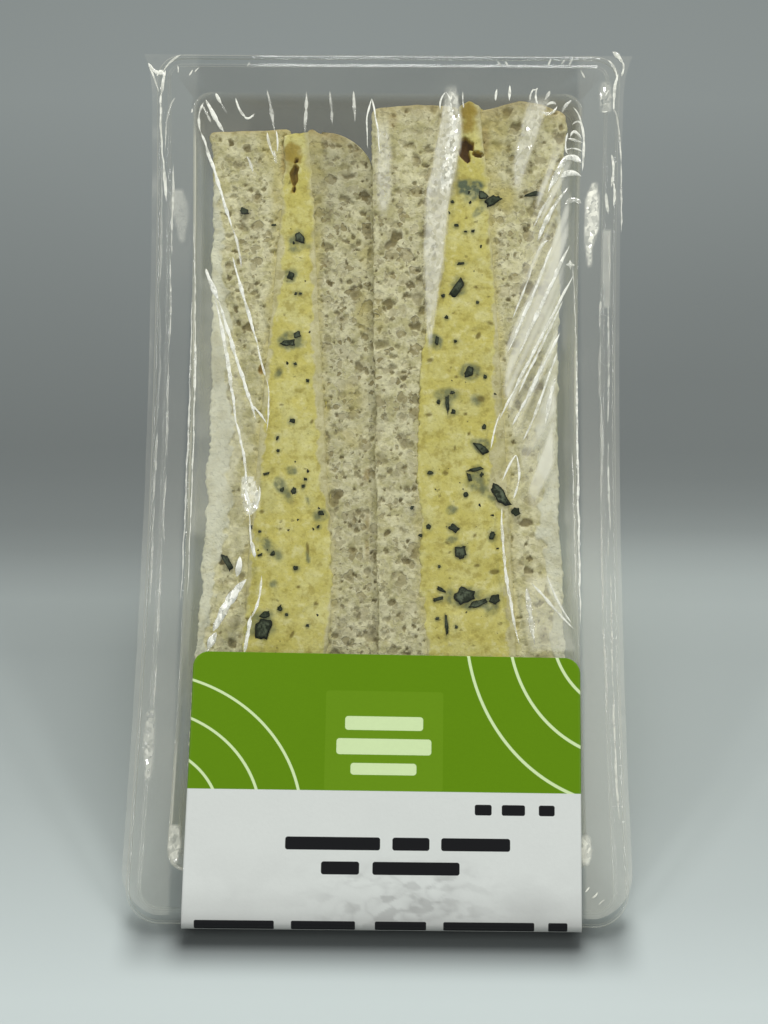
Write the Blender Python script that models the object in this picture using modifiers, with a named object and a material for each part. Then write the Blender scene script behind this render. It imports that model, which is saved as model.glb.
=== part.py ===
"""Egg salad sandwich in a clear wedge pack, stood on its lower side with the window leaning back.

Metres, +Z up, the window faces -Y and up. Everything is first laid out in the pack's own
coordinates: x across, v up the window from the flange's lower edge, and d, the depth behind
the window's plane. A point (x, v, d) is (x, v, -d) in the frame of the pack, and one empty
turns and lifts that frame so that the pack rests on its lower flange edge and on its spine.
"""

import math
from dataclasses import dataclass

import bmesh
import bpy
import numpy as np
from mathutils import Matrix, Vector, noise

OBJECT_NAME = "egg_salad_sandwich"
GAP = 0.0003

# Clear tray: flange round the window
WALL = 0.0005
FLANGE_HALF = 0.0480
FLANGE_TALL = 0.1747
FLANGE_RADII = (0.0070, 0.0055)
WAIST = 0.0020
WAIST_FADE = 0.0300
RIM_WIDTH = 0.0022
RIM_DROP = 0.0012
LIP_DROP = 0.0028

# Clear tray: mouth, upright collar and the two sloping sides that meet in the spine
MOUTH_HALF = 0.0398
MOUTH_LOW = 0.0104
MOUTH_HIGH = 0.1654
MOUTH_RADIUS = 0.0035
EDGE_ROUND = 0.0007
COLLAR_DEEP = 0.0054
COLLAR_DRAFT = 0.0010
SPINE_HALF = 0.0374
SPINE_RADIUS = 0.0095
LONG_STEPS, SHORT_STEPS, CORNER_STEPS = 9, 4, 4
SLOPE_STEPS, SPINE_STEPS = 3, 5

# Film sealed over the window
FILM_THICK = 0.0002
FILM_LIFT = 0.0004
FILM_LOW, FILM_HIGH = 0.0016, 0.1738
FILM_OVERHANG = 0.0006
FILM_CORNER_TIP = 0.0016
FILM_TIP_REACH = 0.0120
FILM_LOWER_RADIUS = 0.0090
FILM_FOLD = 0.00022
FILM_FANS = ((-1, 0.150, 9), (1, 0.140, 11), (-1, 0.058, 7))
FILM_FAN_REACH, FILM_FAN_START, FILM_EDGE_FADE = 0.035, 0.006, 0.004
FILM_COLUMNS, FILM_ROWS = 16, 22

# Paper label: down the window, round the flange's lower edge and under the lower side
LABEL_HALF = 0.0375
LABEL_SHIFT = 0.0010
LABEL_TOP = 0.0509
LABEL_THICK = 0.00025
LABEL_LIFT = 0.0010
LABEL_CORNER = 0.0030
LABEL_FOLD_V = 0.0006
LABEL_FOLD_RADIUS = 0.0010
LABEL_MEETS_SIDE = 0.0160
LABEL_UNDER_END = 0.0440
LABEL_COLUMNS = 6
LABEL_FRONT_ROWS = 6

# White bread slices, cut corner to corner into two halves
BREAD_CORNER = 0.0100
CUT_REACH = 0.0140
SLICE_OUTER = 0.0346
SLICE_FLARE = 0.0020
FLARE_FROM, FLARE_OVER = 0.100, 0.060
DEEP_OUTER = 0.0354
SEAM_X, SEAM_V, SEAM_LEAN = -0.0006, 0.054, -0.026
CRUMB_RELIEF = 0.00022
CRUMB_LUMP = 0.006
CUT_STEPS = 24
SLICE_LAYERS = 3
ROWS_BEHIND_CUT = (0.0, 0.0020, 0.0050, 0.0090, 0.0140, 0.0320)
BACK_ANGLES = (45, 62, 80)

# Egg salad filling
FILLING_INSET = 0.0042
FILLING_END = 0.0014
FILLING_DEEP = 0.0046
FILLING_FADE = 0.0160
FILLING_BULGE_V = 0.060
FILLING_SWAY_V, FILLING_SWAY_OVER = 0.088, 0.066
EGG_RELIEF = 0.00045
EGG_LUMP = 0.0065
FILLING_LAYERS = 5
HERB_THICK = 0.0014
HERB_PROUD = 0.00035
SEED = 11


@dataclass(frozen=True)
class Half:
    """One triangular half sandwich: its size, its filling and the rounding of its four top corners.

    The herbs are the large green bits at the cut: (x, v, length, width, turn in degrees).
    """

    side: int
    leg: float
    cut_depth: float
    centre_v: float
    fill_x: float
    fill_sway: float
    bulge: float
    power: float
    outer_rounds: tuple
    inner_rounds: tuple
    herbs: tuple


LEFT = Half(
    side=-1, leg=0.1087, cut_depth=0.0024, centre_v=0.0863, fill_x=-0.0182, fill_sway=0.0,
    bulge=0.0080, power=1.15, outer_rounds=(0.0030, 0.0012), inner_rounds=(0.0012, 0.0095),
    herbs=(
        (-0.0177, 0.1355, 0.0026, 0.0016, 70),
        (-0.0194, 0.1283, 0.0020, 0.0014, 20),
        (-0.0192, 0.1142, 0.0040, 0.0028, 15),
        (-0.0154, 0.1059, 0.0018, 0.0014, 80),
        (-0.0215, 0.0852, 0.0048, 0.0022, 130),
        (-0.0221, 0.0720, 0.0040, 0.0014, 115),
        (-0.0243, 0.0617, 0.0024, 0.0015, 40),
        (-0.0195, 0.0594, 0.0024, 0.0018, 10),
        (-0.0226, 0.0548, 0.0050, 0.0040, 60),
    ),
)
RIGHT = Half(
    side=1, leg=0.1135, cut_depth=0.0009, centre_v=0.0879, fill_x=0.0176, fill_sway=0.0020,
    bulge=0.0082, power=2.2, outer_rounds=(0.0030, 0.0030), inner_rounds=(0.0028, 0.0030),
    herbs=(
        (0.0163, 0.1448, 0.0044, 0.0034, 160),
        (0.0142, 0.1252, 0.0034, 0.0018, 60),
        (0.0164, 0.1073, 0.0032, 0.0030, 45),
        (0.0124, 0.1018, 0.0022, 0.0018, 20),
        (0.0191, 0.0921, 0.0026, 0.0018, 130),
        (0.0185, 0.0862, 0.0044, 0.0016, 150),
        (0.0208, 0.0826, 0.0060, 0.0026, 122),
        (0.0151, 0.0714, 0.0022, 0.0018, 90),
        (0.0158, 0.0623, 0.0050, 0.0036, 0),
        (0.0205, 0.0621, 0.0042, 0.0032, 25),
        (0.0130, 0.0556, 0.0026, 0.0016, 70),
    ),
)


def smooth(t):
    """Rises from 0 to 1 with level ends."""
    t = min(1.0, max(0.0, t))
    return t * t * (3 - 2 * t)


def waisted(x, v, depth=0.0):
    """Draws both long sides in towards mid-height, as the tight film does, most at the window."""
    middle = FLANGE_TALL / 2
    draw = WAIST * (1 - ((v - middle) / middle) ** 2) * (1 - smooth(depth / WAIST_FADE))
    return x - math.copysign(draw, x) * min(1.0, abs(x) / MOUTH_HALF)


def at(x, v, d):
    """A point of the pack in its frame."""
    return Vector((x, v, -d))


def material(name, colour, roughness, alpha=1.0):
    made = bpy.data.materials.new(name)
    made.use_nodes = True
    shader = made.node_tree.nodes["Principled BSDF"]
    shader.inputs["Base Color"].default_value = (*colour, 1.0)
    shader.inputs["Roughness"].default_value = roughness
    shader.inputs["Metallic"].default_value = 0.0
    shader.inputs["Alpha"].default_value = alpha
    return made


def add_object(name, mesh_builder, finish, collection, frame=None):
    """Turns a bmesh into a named object of the collection, smooth-shaded with its faces outwards."""
    mesh = bpy.data.meshes.new(name)
    mesh_builder.to_mesh(mesh)
    mesh_builder.free()
    mesh.shade_smooth()
    mesh.set_sharp_from_angle(angle=math.radians(40))
    mesh.materials.append(finish)
    made = bpy.data.objects.new(name, mesh)
    collection.objects.link(made)
    made.parent = frame
    return made


def ring_points(half, low, high, depth, radii):
    """A rounded rectangle at one depth of the tray, anticlockwise from the right side's lower end."""
    lower, upper = (min(radius, half, (high - low) / 2) for radius in radii)
    centres = (
        (half - upper, high - upper, upper, 0.0),
        (upper - half, high - upper, upper, 0.5 * math.pi),
        (lower - half, low + lower, lower, math.pi),
        (half - lower, low + lower, lower, 1.5 * math.pi),
    )
    corners = []
    for x, v, radius, start in centres:
        turns = [start + 0.5 * math.pi * i / CORNER_STEPS for i in range(CORNER_STEPS + 1)]
        corners.append([(x + radius * math.cos(a), v + radius * math.sin(a)) for a in turns])
    points = []
    for i, corner in enumerate(corners):
        before = corners[i - 1][-1]
        steps = SHORT_STEPS if i % 2 else LONG_STEPS
        for k in range(1, steps):
            share = k / steps
            points.append((before[0] + (corner[0][0] - before[0]) * share,
                           before[1] + (corner[0][1] - before[1]) * share))
        points += corner
    return [at(waisted(x, v, depth), v, depth) for x, v in points]


def tray_rings():
    """The tray's upper surface, from the turned-down lip over the flange and down to the spine."""
    def flange(inset, depth):
        radii = [radius - inset for radius in FLANGE_RADII]
        return ring_points(FLANGE_HALF - inset, inset, FLANGE_TALL - inset, depth, radii)

    def mouth(draft, depth, extra=0.0):
        edge = draft - extra
        radii = (MOUTH_RADIUS, MOUTH_RADIUS)
        return ring_points(MOUTH_HALF - edge, MOUTH_LOW + edge, MOUTH_HIGH - edge, depth, radii)

    bend = EDGE_ROUND
    rings = [
        flange(0.0, LIP_DROP),
        flange(0.0, RIM_DROP + bend),
        flange(0.3 * bend, RIM_DROP + 0.3 * bend),
        flange(bend, RIM_DROP),
        flange(RIM_WIDTH, RIM_DROP),
        flange(RIM_WIDTH + bend, 0.0),
        mouth(0.0, 0.0, extra=bend),
        mouth(0.0, 0.3 * bend, extra=0.3 * bend),
        mouth(0.0, bend),
        mouth(COLLAR_DRAFT, COLLAR_DEEP),
    ]
    middle = (MOUTH_LOW + MOUTH_HIGH) / 2
    long_half = (MOUTH_HIGH - MOUTH_LOW) / 2 - COLLAR_DRAFT
    spine_centre = COLLAR_DEEP + long_half - SPINE_RADIUS * math.sqrt(2)
    arc_start = spine_centre + SPINE_RADIUS / math.sqrt(2)
    deepest = spine_centre + SPINE_RADIUS

    def lower_ring(v_half, depth):
        share = (depth - COLLAR_DEEP) / (deepest - COLLAR_DEEP)
        half = (MOUTH_HALF - COLLAR_DRAFT) * (1 - share) + SPINE_HALF * share
        return ring_points(half, middle - v_half, middle + v_half, depth, (MOUTH_RADIUS, MOUTH_RADIUS))

    for k in range(1, SLOPE_STEPS + 1):
        depth = COLLAR_DEEP + (arc_start - COLLAR_DEEP) * k / SLOPE_STEPS
        rings.append(lower_ring(long_half - (depth - COLLAR_DEEP), depth))
    for k in range(1, SPINE_STEPS + 1):
        turn = math.pi / 4 * (1 + k / SPINE_STEPS)
        rings.append(lower_ring(SPINE_RADIUS * math.cos(turn), spine_centre + SPINE_RADIUS * math.sin(turn)))
    return rings


def make_tray(collection, frame):
    """Thermoformed clear tray: one skin from the flange's lip down to the spine, given its wall."""
    bm = bmesh.new()
    rings = [[bm.verts.new(point) for point in ring] for ring in tray_rings()]
    for outer, inner in zip(rings, rings[1:]):
        count = len(outer)
        for i in range(count):
            j = (i + 1) % count
            bm.faces.new((outer[i], outer[j], inner[j], inner[i]))
    bmesh.ops.remove_doubles(bm, verts=bm.verts, dist=0.00002)
    clear = material("clear_plastic", (0.80, 0.83, 0.81), 0.08, 0.35)
    tray = add_object("tray", bm, clear, collection, frame)
    skin = tray.modifiers.new("wall", "SOLIDIFY")
    skin.thickness = WALL
    skin.offset = -1.0
    skin.use_even_offset = True
    return tray


def film_height(x, v):
    """Shallow folds that fan out from the mouth's corners and fade over the flange."""
    reach = 0.0
    for side, from_v, folds in FILM_FANS:
        away = math.hypot(x - side * MOUTH_HALF, v - from_v)
        angle = math.atan2(v - from_v, x - side * MOUTH_HALF)
        reach += math.sin(folds * angle) * math.exp(-away / FILM_FAN_REACH) * smooth(away / FILM_FAN_START)
    inside = smooth((MOUTH_HALF - abs(x)) / FILM_EDGE_FADE) * smooth((v - MOUTH_LOW) / FILM_EDGE_FADE)
    inside *= smooth((MOUTH_HIGH - v) / FILM_EDGE_FADE)
    return FILM_LIFT + FILM_FOLD * reach * inside


def film_rows():
    """The film's rows as (v, half width): rounded lower corners, drawn to a tip at the upper ones."""
    low, radius = FILM_LOW, FILM_LOWER_RADIUS
    heights = [low + radius * (1 - math.cos(math.radians(turn))) for turn in (15, 35, 60, 90)]
    plain_top = FILM_HIGH - FILM_TIP_REACH
    heights += [heights[-1] + (plain_top - heights[-1]) * k / FILM_ROWS for k in range(1, FILM_ROWS + 1)]
    heights += [FILM_HIGH - FILM_TIP_REACH * share for share in (0.6, 0.3, 0.1, 0.0)]
    rows = []
    for v in heights:
        cut = max(0.0, low + radius - v)
        tip = max(0.0, v - plain_top) / FILM_TIP_REACH
        half = FLANGE_HALF + FILM_OVERHANG - radius + math.sqrt(radius ** 2 - cut ** 2)
        rows.append((v, half + FILM_CORNER_TIP * tip ** 3))
    return rows


def make_film(collection, frame):
    """Thin clear film sealed on the flange."""
    bm = bmesh.new()
    grid = []
    for v, half in film_rows():
        places = [waisted(half * (2 * i / FILM_COLUMNS - 1), v) for i in range(FILM_COLUMNS + 1)]
        grid.append([bm.verts.new(at(x, v, -film_height(x, v))) for x in places])
    for low, high in zip(grid, grid[1:]):
        for i in range(FILM_COLUMNS):
            bm.faces.new((low[i], low[i + 1], high[i + 1], high[i]))
    film = add_object("film", bm, material("clear_film", (0.9, 0.9, 0.9), 0.05, 0.2), collection, frame)
    skin = film.modifiers.new("thickness", "SOLIDIFY")
    skin.thickness = FILM_THICK
    skin.offset = 1.0
    return film


def label_path():
    """The label's inner line as (v, d), from its top edge to its hidden end under the lower side."""
    radius = LABEL_FOLD_RADIUS
    top_centre_d = radius - LABEL_LIFT
    path = []
    for turn in (0, 25, 50, 90):
        path.append((LABEL_TOP - LABEL_CORNER * (1 - math.cos(math.radians(turn))), -LABEL_LIFT))
    for k in range(1, LABEL_FRONT_ROWS):
        share = k / LABEL_FRONT_ROWS
        path.append(((LABEL_TOP - LABEL_CORNER) * (1 - share) + LABEL_FOLD_V * share, -LABEL_LIFT))
    for k in range(5):
        turn = 0.5 * math.pi * k / 4
        path.append((LABEL_FOLD_V - radius * math.sin(turn), top_centre_d - radius * math.cos(turn)))
    for k in range(4):
        turn = math.radians(60) * k / 3
        path.append((LABEL_FOLD_V - radius * math.cos(turn), LIP_DROP + radius * math.sin(turn)))
    side_v = MOUTH_LOW + COLLAR_DRAFT - COLLAR_DEEP - (WALL + GAP) * math.sqrt(2)
    for d in (LABEL_MEETS_SIDE, 0.5 * (LABEL_MEETS_SIDE + LABEL_UNDER_END), LABEL_UNDER_END):
        path.append((side_v + d, d))
    return path


def make_label(collection, frame):
    """Paper label, folded round the flange's lower edge, with rounded top corners."""
    bm = bmesh.new()
    rows = []
    for v, d in label_path():
        cut = max(0.0, v - (LABEL_TOP - LABEL_CORNER)) / LABEL_CORNER
        half = LABEL_HALF - LABEL_CORNER * (1 - math.sqrt(max(0.0, 1 - cut * cut)))
        places = [LABEL_SHIFT + half * (2 * i / LABEL_COLUMNS - 1) for i in range(LABEL_COLUMNS + 1)]
        rows.append([bm.verts.new(at(x, v, d)) for x in places])
    for high, low in zip(rows, rows[1:]):
        for i in range(LABEL_COLUMNS):
            bm.faces.new((low[i], low[i + 1], high[i + 1], high[i]))
    label = add_object("label", bm, material("label_paper", (0.62, 0.72, 0.50), 0.45), collection, frame)
    skin = label.modifiers.new("paper", "SOLIDIFY")
    skin.thickness = LABEL_THICK
    skin.offset = 1.0
    skin.use_even_offset = True
    return label


def half_spread(half, behind):
    """Half the height of the bread triangle at a distance behind its cut: tip, leg, then back corner."""
    sharp = half.leg / math.sqrt(2)
    reach = sharp - BREAD_CORNER * math.sqrt(2)
    bend = BREAD_CORNER / math.sqrt(2)
    if behind < bend:
        return reach + math.sqrt(BREAD_CORNER ** 2 - behind ** 2)
    if behind < reach + bend:
        return sharp - behind
    return math.sqrt(max(0.0, BREAD_CORNER ** 2 - (behind - reach) ** 2))


def lattice(half):
    """Rows of (v, d) over the bread triangle, from the cut to the back corner.

    The first and last place of a row lie on the crust and the next ones on the filling's edge, so a
    filling that leaves out the outermost places fits between its slices exactly.
    """
    reach = half.leg / math.sqrt(2) - BREAD_CORNER * math.sqrt(2)
    back_rows = tuple(reach + BREAD_CORNER * math.sin(math.radians(angle)) for angle in BACK_ANGLES)
    rows = []
    for behind in ROWS_BEHIND_CUT + back_rows:
        spread = half_spread(half, behind)
        inset = min(FILLING_INSET * math.sqrt(2), 0.4 * spread)
        inner = spread - inset
        places = [inner * (2 * i / CUT_STEPS - 1) for i in range(CUT_STEPS + 1)]
        places = [-spread] + places + [spread]
        rows.append([(half.centre_v + v, half.cut_depth + behind) for v in places])
    return rows


def leg_distance(half, v, d):
    """How far a point lies inside the nearer of the two crust edges."""
    sharp = half.leg / math.sqrt(2)
    behind = d - half.cut_depth
    above = (half.centre_v + sharp - behind - v) / math.sqrt(2)
    below = (v - behind - half.centre_v + sharp) / math.sqrt(2)
    return min(above, below)


def seam(v):
    """Where the two halves meet, leaning a little to the left towards the top."""
    return SEAM_X + SEAM_LEAN * (v - SEAM_V)


def filling_middle(half, v):
    """The filling's mid-plane, which follows the seam in the right half and is upright in the left."""
    if half.side < 0:
        return half.fill_x
    sway = ((v - FILLING_SWAY_V) / FILLING_SWAY_OVER) ** 2
    return seam(v) + half.fill_x + half.fill_sway * min(1.5, sway)


def filling_half(half, v, d):
    """Half the filling's thickness: wide low on the cut, thin at its ends, even further in."""
    tip = half.leg / math.sqrt(2) - BREAD_CORNER * (math.sqrt(2) - 1)
    above = half.centre_v + tip - FILLING_BULGE_V
    below = FILLING_BULGE_V - half.centre_v + tip
    share = min(1.0, abs(v - FILLING_BULGE_V) / (above if v > FILLING_BULGE_V else below))
    at_cut = FILLING_END + (half.bulge - FILLING_END) * (1 - share ** half.power)
    deep = FILLING_END + (FILLING_DEEP - FILLING_END) * smooth(leg_distance(half, v, d) / FILLING_FADE)
    inwards = smooth((d - half.cut_depth) / CUT_REACH)
    return at_cut * (1 - inwards) + deep * inwards


def outer_face(half, v, d):
    """The outer face of the half's outer slice, flaring a little towards both tips."""
    flare = SLICE_FLARE * min(1.0, abs(v - FLARE_FROM) / FLARE_OVER) ** 2
    inwards = smooth((d - half.cut_depth) / CUT_REACH)
    return half.side * ((SLICE_OUTER + flare) * (1 - inwards) + DEEP_OUTER * inwards)


def rounded_top(half, v, radius):
    """How far a slice's face draws in where it nears the top tip."""
    tip = half.centre_v + half.leg / math.sqrt(2) - BREAD_CORNER * (math.sqrt(2) - 1)
    rise = min(radius, max(0.0, v - (tip - radius)))
    return radius - math.sqrt(max(0.0, radius * radius - rise * rise))


def slice_faces(half, outer):
    """The two faces of one slice as functions x(v, d), the lower x first."""
    def to_filling(v, d):
        edge = filling_half(half, v, d) + GAP / 2
        towards = half.side if outer else -half.side
        rounds = half.outer_rounds if outer else half.inner_rounds
        radius = rounds[1] if outer else rounds[0]
        return filling_middle(half, v) + towards * (edge + rounded_top(half, v, radius))

    def away(v, d):
        if outer:
            return outer_face(half, v, d) - half.side * rounded_top(half, v, half.outer_rounds[0])
        return seam(v) + half.side * (GAP / 2 + rounded_top(half, v, half.inner_rounds[1]))

    faces = (away, to_filling)
    low_first = faces[0](half.centre_v, half.cut_depth) < faces[1](half.centre_v, half.cut_depth)
    return faces if low_first else faces[::-1]


def filling_faces(half):
    """The filling's two faces as functions x(v, d), the lower x first."""
    def face(sign):
        return lambda v, d: filling_middle(half, v) + sign * (filling_half(half, v, d) - GAP / 2)
    return face(-1), face(1)


def layer_mesh(rows, faces, layers, relief):
    """A closed layer between two faces over one lattice; relief moves the inner points of the cut."""
    bm = bmesh.new()
    width, depth = len(rows[0]), len(rows)

    def corner(x, v, d):
        return bm.verts.new(at(x, v, d + relief(x, v, d)))

    sheets = [[[corner(face(v, d), v, d) for v, d in row] for row in rows] for face in faces]
    for sheet in sheets:
        for near, far in zip(sheet, sheet[1:]):
            for i in range(width - 1):
                bm.faces.new((near[i], near[i + 1], far[i + 1], far[i]))

    rim = [(0, i) for i in range(width)] + [(j, width - 1) for j in range(1, depth)]
    rim += [(depth - 1, i) for i in range(width - 2, -1, -1)] + [(j, 0) for j in range(depth - 2, 0, -1)]
    bands = [[sheets[0][j][i] for j, i in rim]]
    for k in range(1, layers):
        band = []
        for j, i in rim:
            v, d = rows[j][i]
            x = faces[0](v, d) + (faces[1](v, d) - faces[0](v, d)) * k / layers
            band.append(corner(x, v, d))
        bands.append(band)
    bands.append([sheets[1][j][i] for j, i in rim])
    for near, far in zip(bands, bands[1:]):
        for i in range(len(rim)):
            j = (i + 1) % len(rim)
            bm.faces.new((near[i], near[j], far[j], far[i]))
    bmesh.ops.recalc_face_normals(bm, faces=bm.faces)
    return bm


def cut_relief(half, amount, size):
    """Unevenness of the cut face alone, by smooth noise of the given size."""
    def relief(x, v, d):
        if d > half.cut_depth + 0.0001:
            return 0.0
        return amount * noise.noise(Vector((x, v, 0.01 * half.side * SEED)) / size)
    return relief


def make_slice(name, half, outer, finish, collection, frame):
    """One triangle of white bread."""
    relief = cut_relief(half, CRUMB_RELIEF, CRUMB_LUMP)
    bm = layer_mesh(lattice(half), slice_faces(half, outer), SLICE_LAYERS, relief)
    return add_object(name, bm, finish, collection, frame)


def herb_chip(herb, depth, seed, finish, collection, frame):
    """A torn bit of green: a flat, uneven six-sided chip sunk in the filling's cut face."""
    x, v, length, width, turn = herb
    draw = np.random.default_rng(seed)
    bm = bmesh.new()
    bmesh.ops.create_cone(bm, cap_ends=True, segments=6, radius1=0.5, radius2=0.42, depth=1.0)
    for vert in bm.verts:
        vert.co.x *= length * (1 + 0.16 * (draw.random() - 0.5))
        vert.co.y *= width * (1 + 0.16 * (draw.random() - 0.5))
        vert.co.z *= HERB_THICK
    place = Matrix.Translation(at(x, v, depth + HERB_THICK / 2 - HERB_PROUD))
    bmesh.ops.transform(bm, matrix=place @ Matrix.Rotation(math.radians(turn), 4, "Z"), verts=bm.verts)
    bmesh.ops.recalc_face_normals(bm, faces=bm.faces)
    return add_object(f"herb_{seed}", bm, finish, collection, frame)


def make_filling(name, half, finish, collection, frame):
    """One layer of egg salad with its large herb bits joined on at the cut face."""
    rows = [row[1:-1] for row in lattice(half)[:-1]]
    relief = cut_relief(half, EGG_RELIEF, EGG_LUMP)
    bm = layer_mesh(rows, filling_faces(half), FILLING_LAYERS, relief)
    filling = add_object(name, bm, finish, collection, frame)

    chips = bpy.data.collections.new(f"{name}_herbs")
    bpy.context.scene.collection.children.link(chips)
    for number, herb in enumerate(half.herbs):
        herb_chip(herb, half.cut_depth, SEED * (3 + half.side) + number, finish, chips, frame)
    join = filling.modifiers.new("herbs", "BOOLEAN")
    join.operation = "UNION"
    join.operand_type = "COLLECTION"
    join.collection = chips
    bpy.context.view_layer.update()
    joined = bpy.data.meshes.new_from_object(filling.evaluated_get(bpy.context.evaluated_depsgraph_get()))
    filling.modifiers.remove(join)
    filling.data = joined
    for chip in list(chips.objects):
        bpy.data.objects.remove(chip)
    bpy.data.collections.remove(chips)
    return filling


def resting_angle():
    """How far the window's plane leans up from the floor when the pack rests on label fold and spine."""
    fold = LABEL_FOLD_RADIUS + LABEL_THICK
    long_half = (MOUTH_HIGH - MOUTH_LOW) / 2 - COLLAR_DRAFT
    spine_v = (MOUTH_HIGH + MOUTH_LOW) / 2
    spine_d = COLLAR_DEEP + long_half - SPINE_RADIUS * math.sqrt(2)
    along, down = spine_v - LABEL_FOLD_V, spine_d - LIP_DROP
    drop = SPINE_RADIUS + WALL - fold
    return math.atan2(down, along) + math.asin(drop / math.hypot(along, down))


def stand_on_floor(frame, collection):
    """Leans the pack back and puts the middle of its box's underside at the origin."""
    frame.rotation_euler.x = resting_angle()
    bpy.context.view_layer.update()
    graph = bpy.context.evaluated_depsgraph_get()
    corners = []
    for part in collection.objects:
        if part.type == "MESH":
            solid = part.evaluated_get(graph)
            corners += [solid.matrix_world @ vert.co for vert in solid.data.vertices]
    corners = np.array(corners)
    low, high = corners.min(axis=0), corners.max(axis=0)
    frame.location = (-(low[0] + high[0]) / 2, -(low[1] + high[1]) / 2, -low[2])


def main():
    for old in list(bpy.data.objects):
        bpy.data.objects.remove(old)
    collection = bpy.data.collections.new(OBJECT_NAME)
    bpy.context.scene.collection.children.link(collection)
    frame = bpy.data.objects.new("pack_frame", None)
    collection.objects.link(frame)

    make_tray(collection, frame)
    make_film(collection, frame)
    make_label(collection, frame)
    bread = material("white_bread", (0.72, 0.68, 0.50), 0.9)
    egg = material("egg_salad", (0.75, 0.66, 0.20), 0.6)
    make_slice("bread_a", LEFT, True, bread, collection, frame)
    make_filling("egg_left", LEFT, egg, collection, frame)
    make_slice("bread_b", LEFT, False, bread, collection, frame)
    make_slice("bread_c", RIGHT, False, bread, collection, frame)
    make_filling("egg_right", RIGHT, egg, collection, frame)
    make_slice("bread_d", RIGHT, True, bread, collection, frame)
    stand_on_floor(frame, collection)


main()
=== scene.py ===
"""Looks of the egg salad sandwich in its clear wedge pack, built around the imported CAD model.

Each mesh is laid out in the pack's own coordinates, in metres: x across the window, v up the
window from the flange's lower edge, and w, the height outwards from the window's plane, so that
the depth behind the window is d = -w. Stand turns a finished mesh into the row frame, where its
object stays at the origin.
"""

import logging
import math
from collections.abc import Callable
from dataclasses import dataclass, field
from enum import Enum

import bmesh
import bpy
import numpy as np
from mathutils import Matrix, Vector
from mathutils.kdtree import KDTree


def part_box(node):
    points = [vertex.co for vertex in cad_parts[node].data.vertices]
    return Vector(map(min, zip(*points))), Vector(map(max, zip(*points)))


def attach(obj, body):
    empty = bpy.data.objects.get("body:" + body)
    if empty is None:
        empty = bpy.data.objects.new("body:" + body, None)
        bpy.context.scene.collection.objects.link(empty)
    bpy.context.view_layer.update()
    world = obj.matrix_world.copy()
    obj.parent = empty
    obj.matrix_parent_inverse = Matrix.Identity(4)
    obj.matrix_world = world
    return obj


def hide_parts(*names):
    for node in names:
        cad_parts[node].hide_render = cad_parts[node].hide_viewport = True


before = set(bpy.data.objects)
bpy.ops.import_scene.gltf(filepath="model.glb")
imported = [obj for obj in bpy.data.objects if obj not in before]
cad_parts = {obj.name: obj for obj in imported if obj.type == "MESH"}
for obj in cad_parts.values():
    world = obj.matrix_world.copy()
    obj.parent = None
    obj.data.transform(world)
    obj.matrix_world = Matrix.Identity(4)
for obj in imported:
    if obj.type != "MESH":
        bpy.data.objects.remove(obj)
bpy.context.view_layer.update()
BODY = "root"
log = logging.getLogger("sandwich_pack")

Array = np.ndarray
Colour = tuple[float, float, float]
Socket = bpy.types.NodeSocket
Piece = bpy.types.Object
Material = bpy.types.Material
Group = bpy.types.NodeTree


def linear(red: float, green: float, blue: float) -> Colour:
    """A colour given as a screen shows it, from 0 to 255, as the linear numbers of a shader.

    Args:
        red, green, blue: The colour's parts, 0 to 255.

    Returns:
        The three linear parts, 0 to 1.
    """
    def part(value: float) -> float:
        share = value / 255
        return share / 12.92 if share <= 0.04045 else ((share + 0.055) / 1.055) ** 2.4
    return part(red), part(green), part(blue)


def smooth(t: Array) -> Array:
    """Rises from 0 to 1 with level ends, and stays there outside that range."""
    t = np.clip(t, 0.0, 1.0)
    return t * t * (3 - 2 * t)


class SoftNoise:
    """Smooth, repeatable noise between -1 and 1, read from a seeded table of random numbers."""

    SIDE = 48

    def __init__(self, seed: int) -> None:
        """Fills the table."""
        self.table = np.random.default_rng(seed).uniform(-1.0, 1.0, (self.SIDE,) * 3)

    def __call__(self, x: Array, y: Array, z: Array | float = 0.0) -> Array:
        """Reads the noise, whose lumps are about one unit wide.

        Args:
            x, y, z: Where to read it, in units of a lump.

        Returns:
            One number for each place.
        """
        spots = np.stack(np.broadcast_arrays(0.8 * x + 0.6 * y, 0.8 * y - 0.6 * x, z)).astype(float)
        cell = np.floor(spots).astype(int)
        share = smooth(spots - cell)
        total = np.zeros(spots.shape[1:])
        for corner in np.ndindex(2, 2, 2):
            weight = np.ones(spots.shape[1:])
            index = []
            for axis, step in enumerate(corner):
                weight = weight * (share[axis] if step else 1 - share[axis])
                index.append((cell[axis] + step) % self.SIDE)
            total = total + weight * self.table[tuple(index)]
        return total

    def layers(self, x: Array, y: Array, size: float, count: int) -> Array:
        """Adds up noise of halving size and height.

        Args:
            x, y: Where to read it, in metres.
            size: Width of the largest lumps, in metres.
            count: How many sizes are added.

        Returns:
            One number for each place, between about -1 and 1.
        """
        total = np.zeros(np.broadcast(x, y).shape)
        for k in range(count):
            total = total + self(x / size * 2 ** k, y / size * 2 ** k, 7.3 * k) / 2 ** k
        return total / (2 - 2 ** (1 - count))


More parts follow.
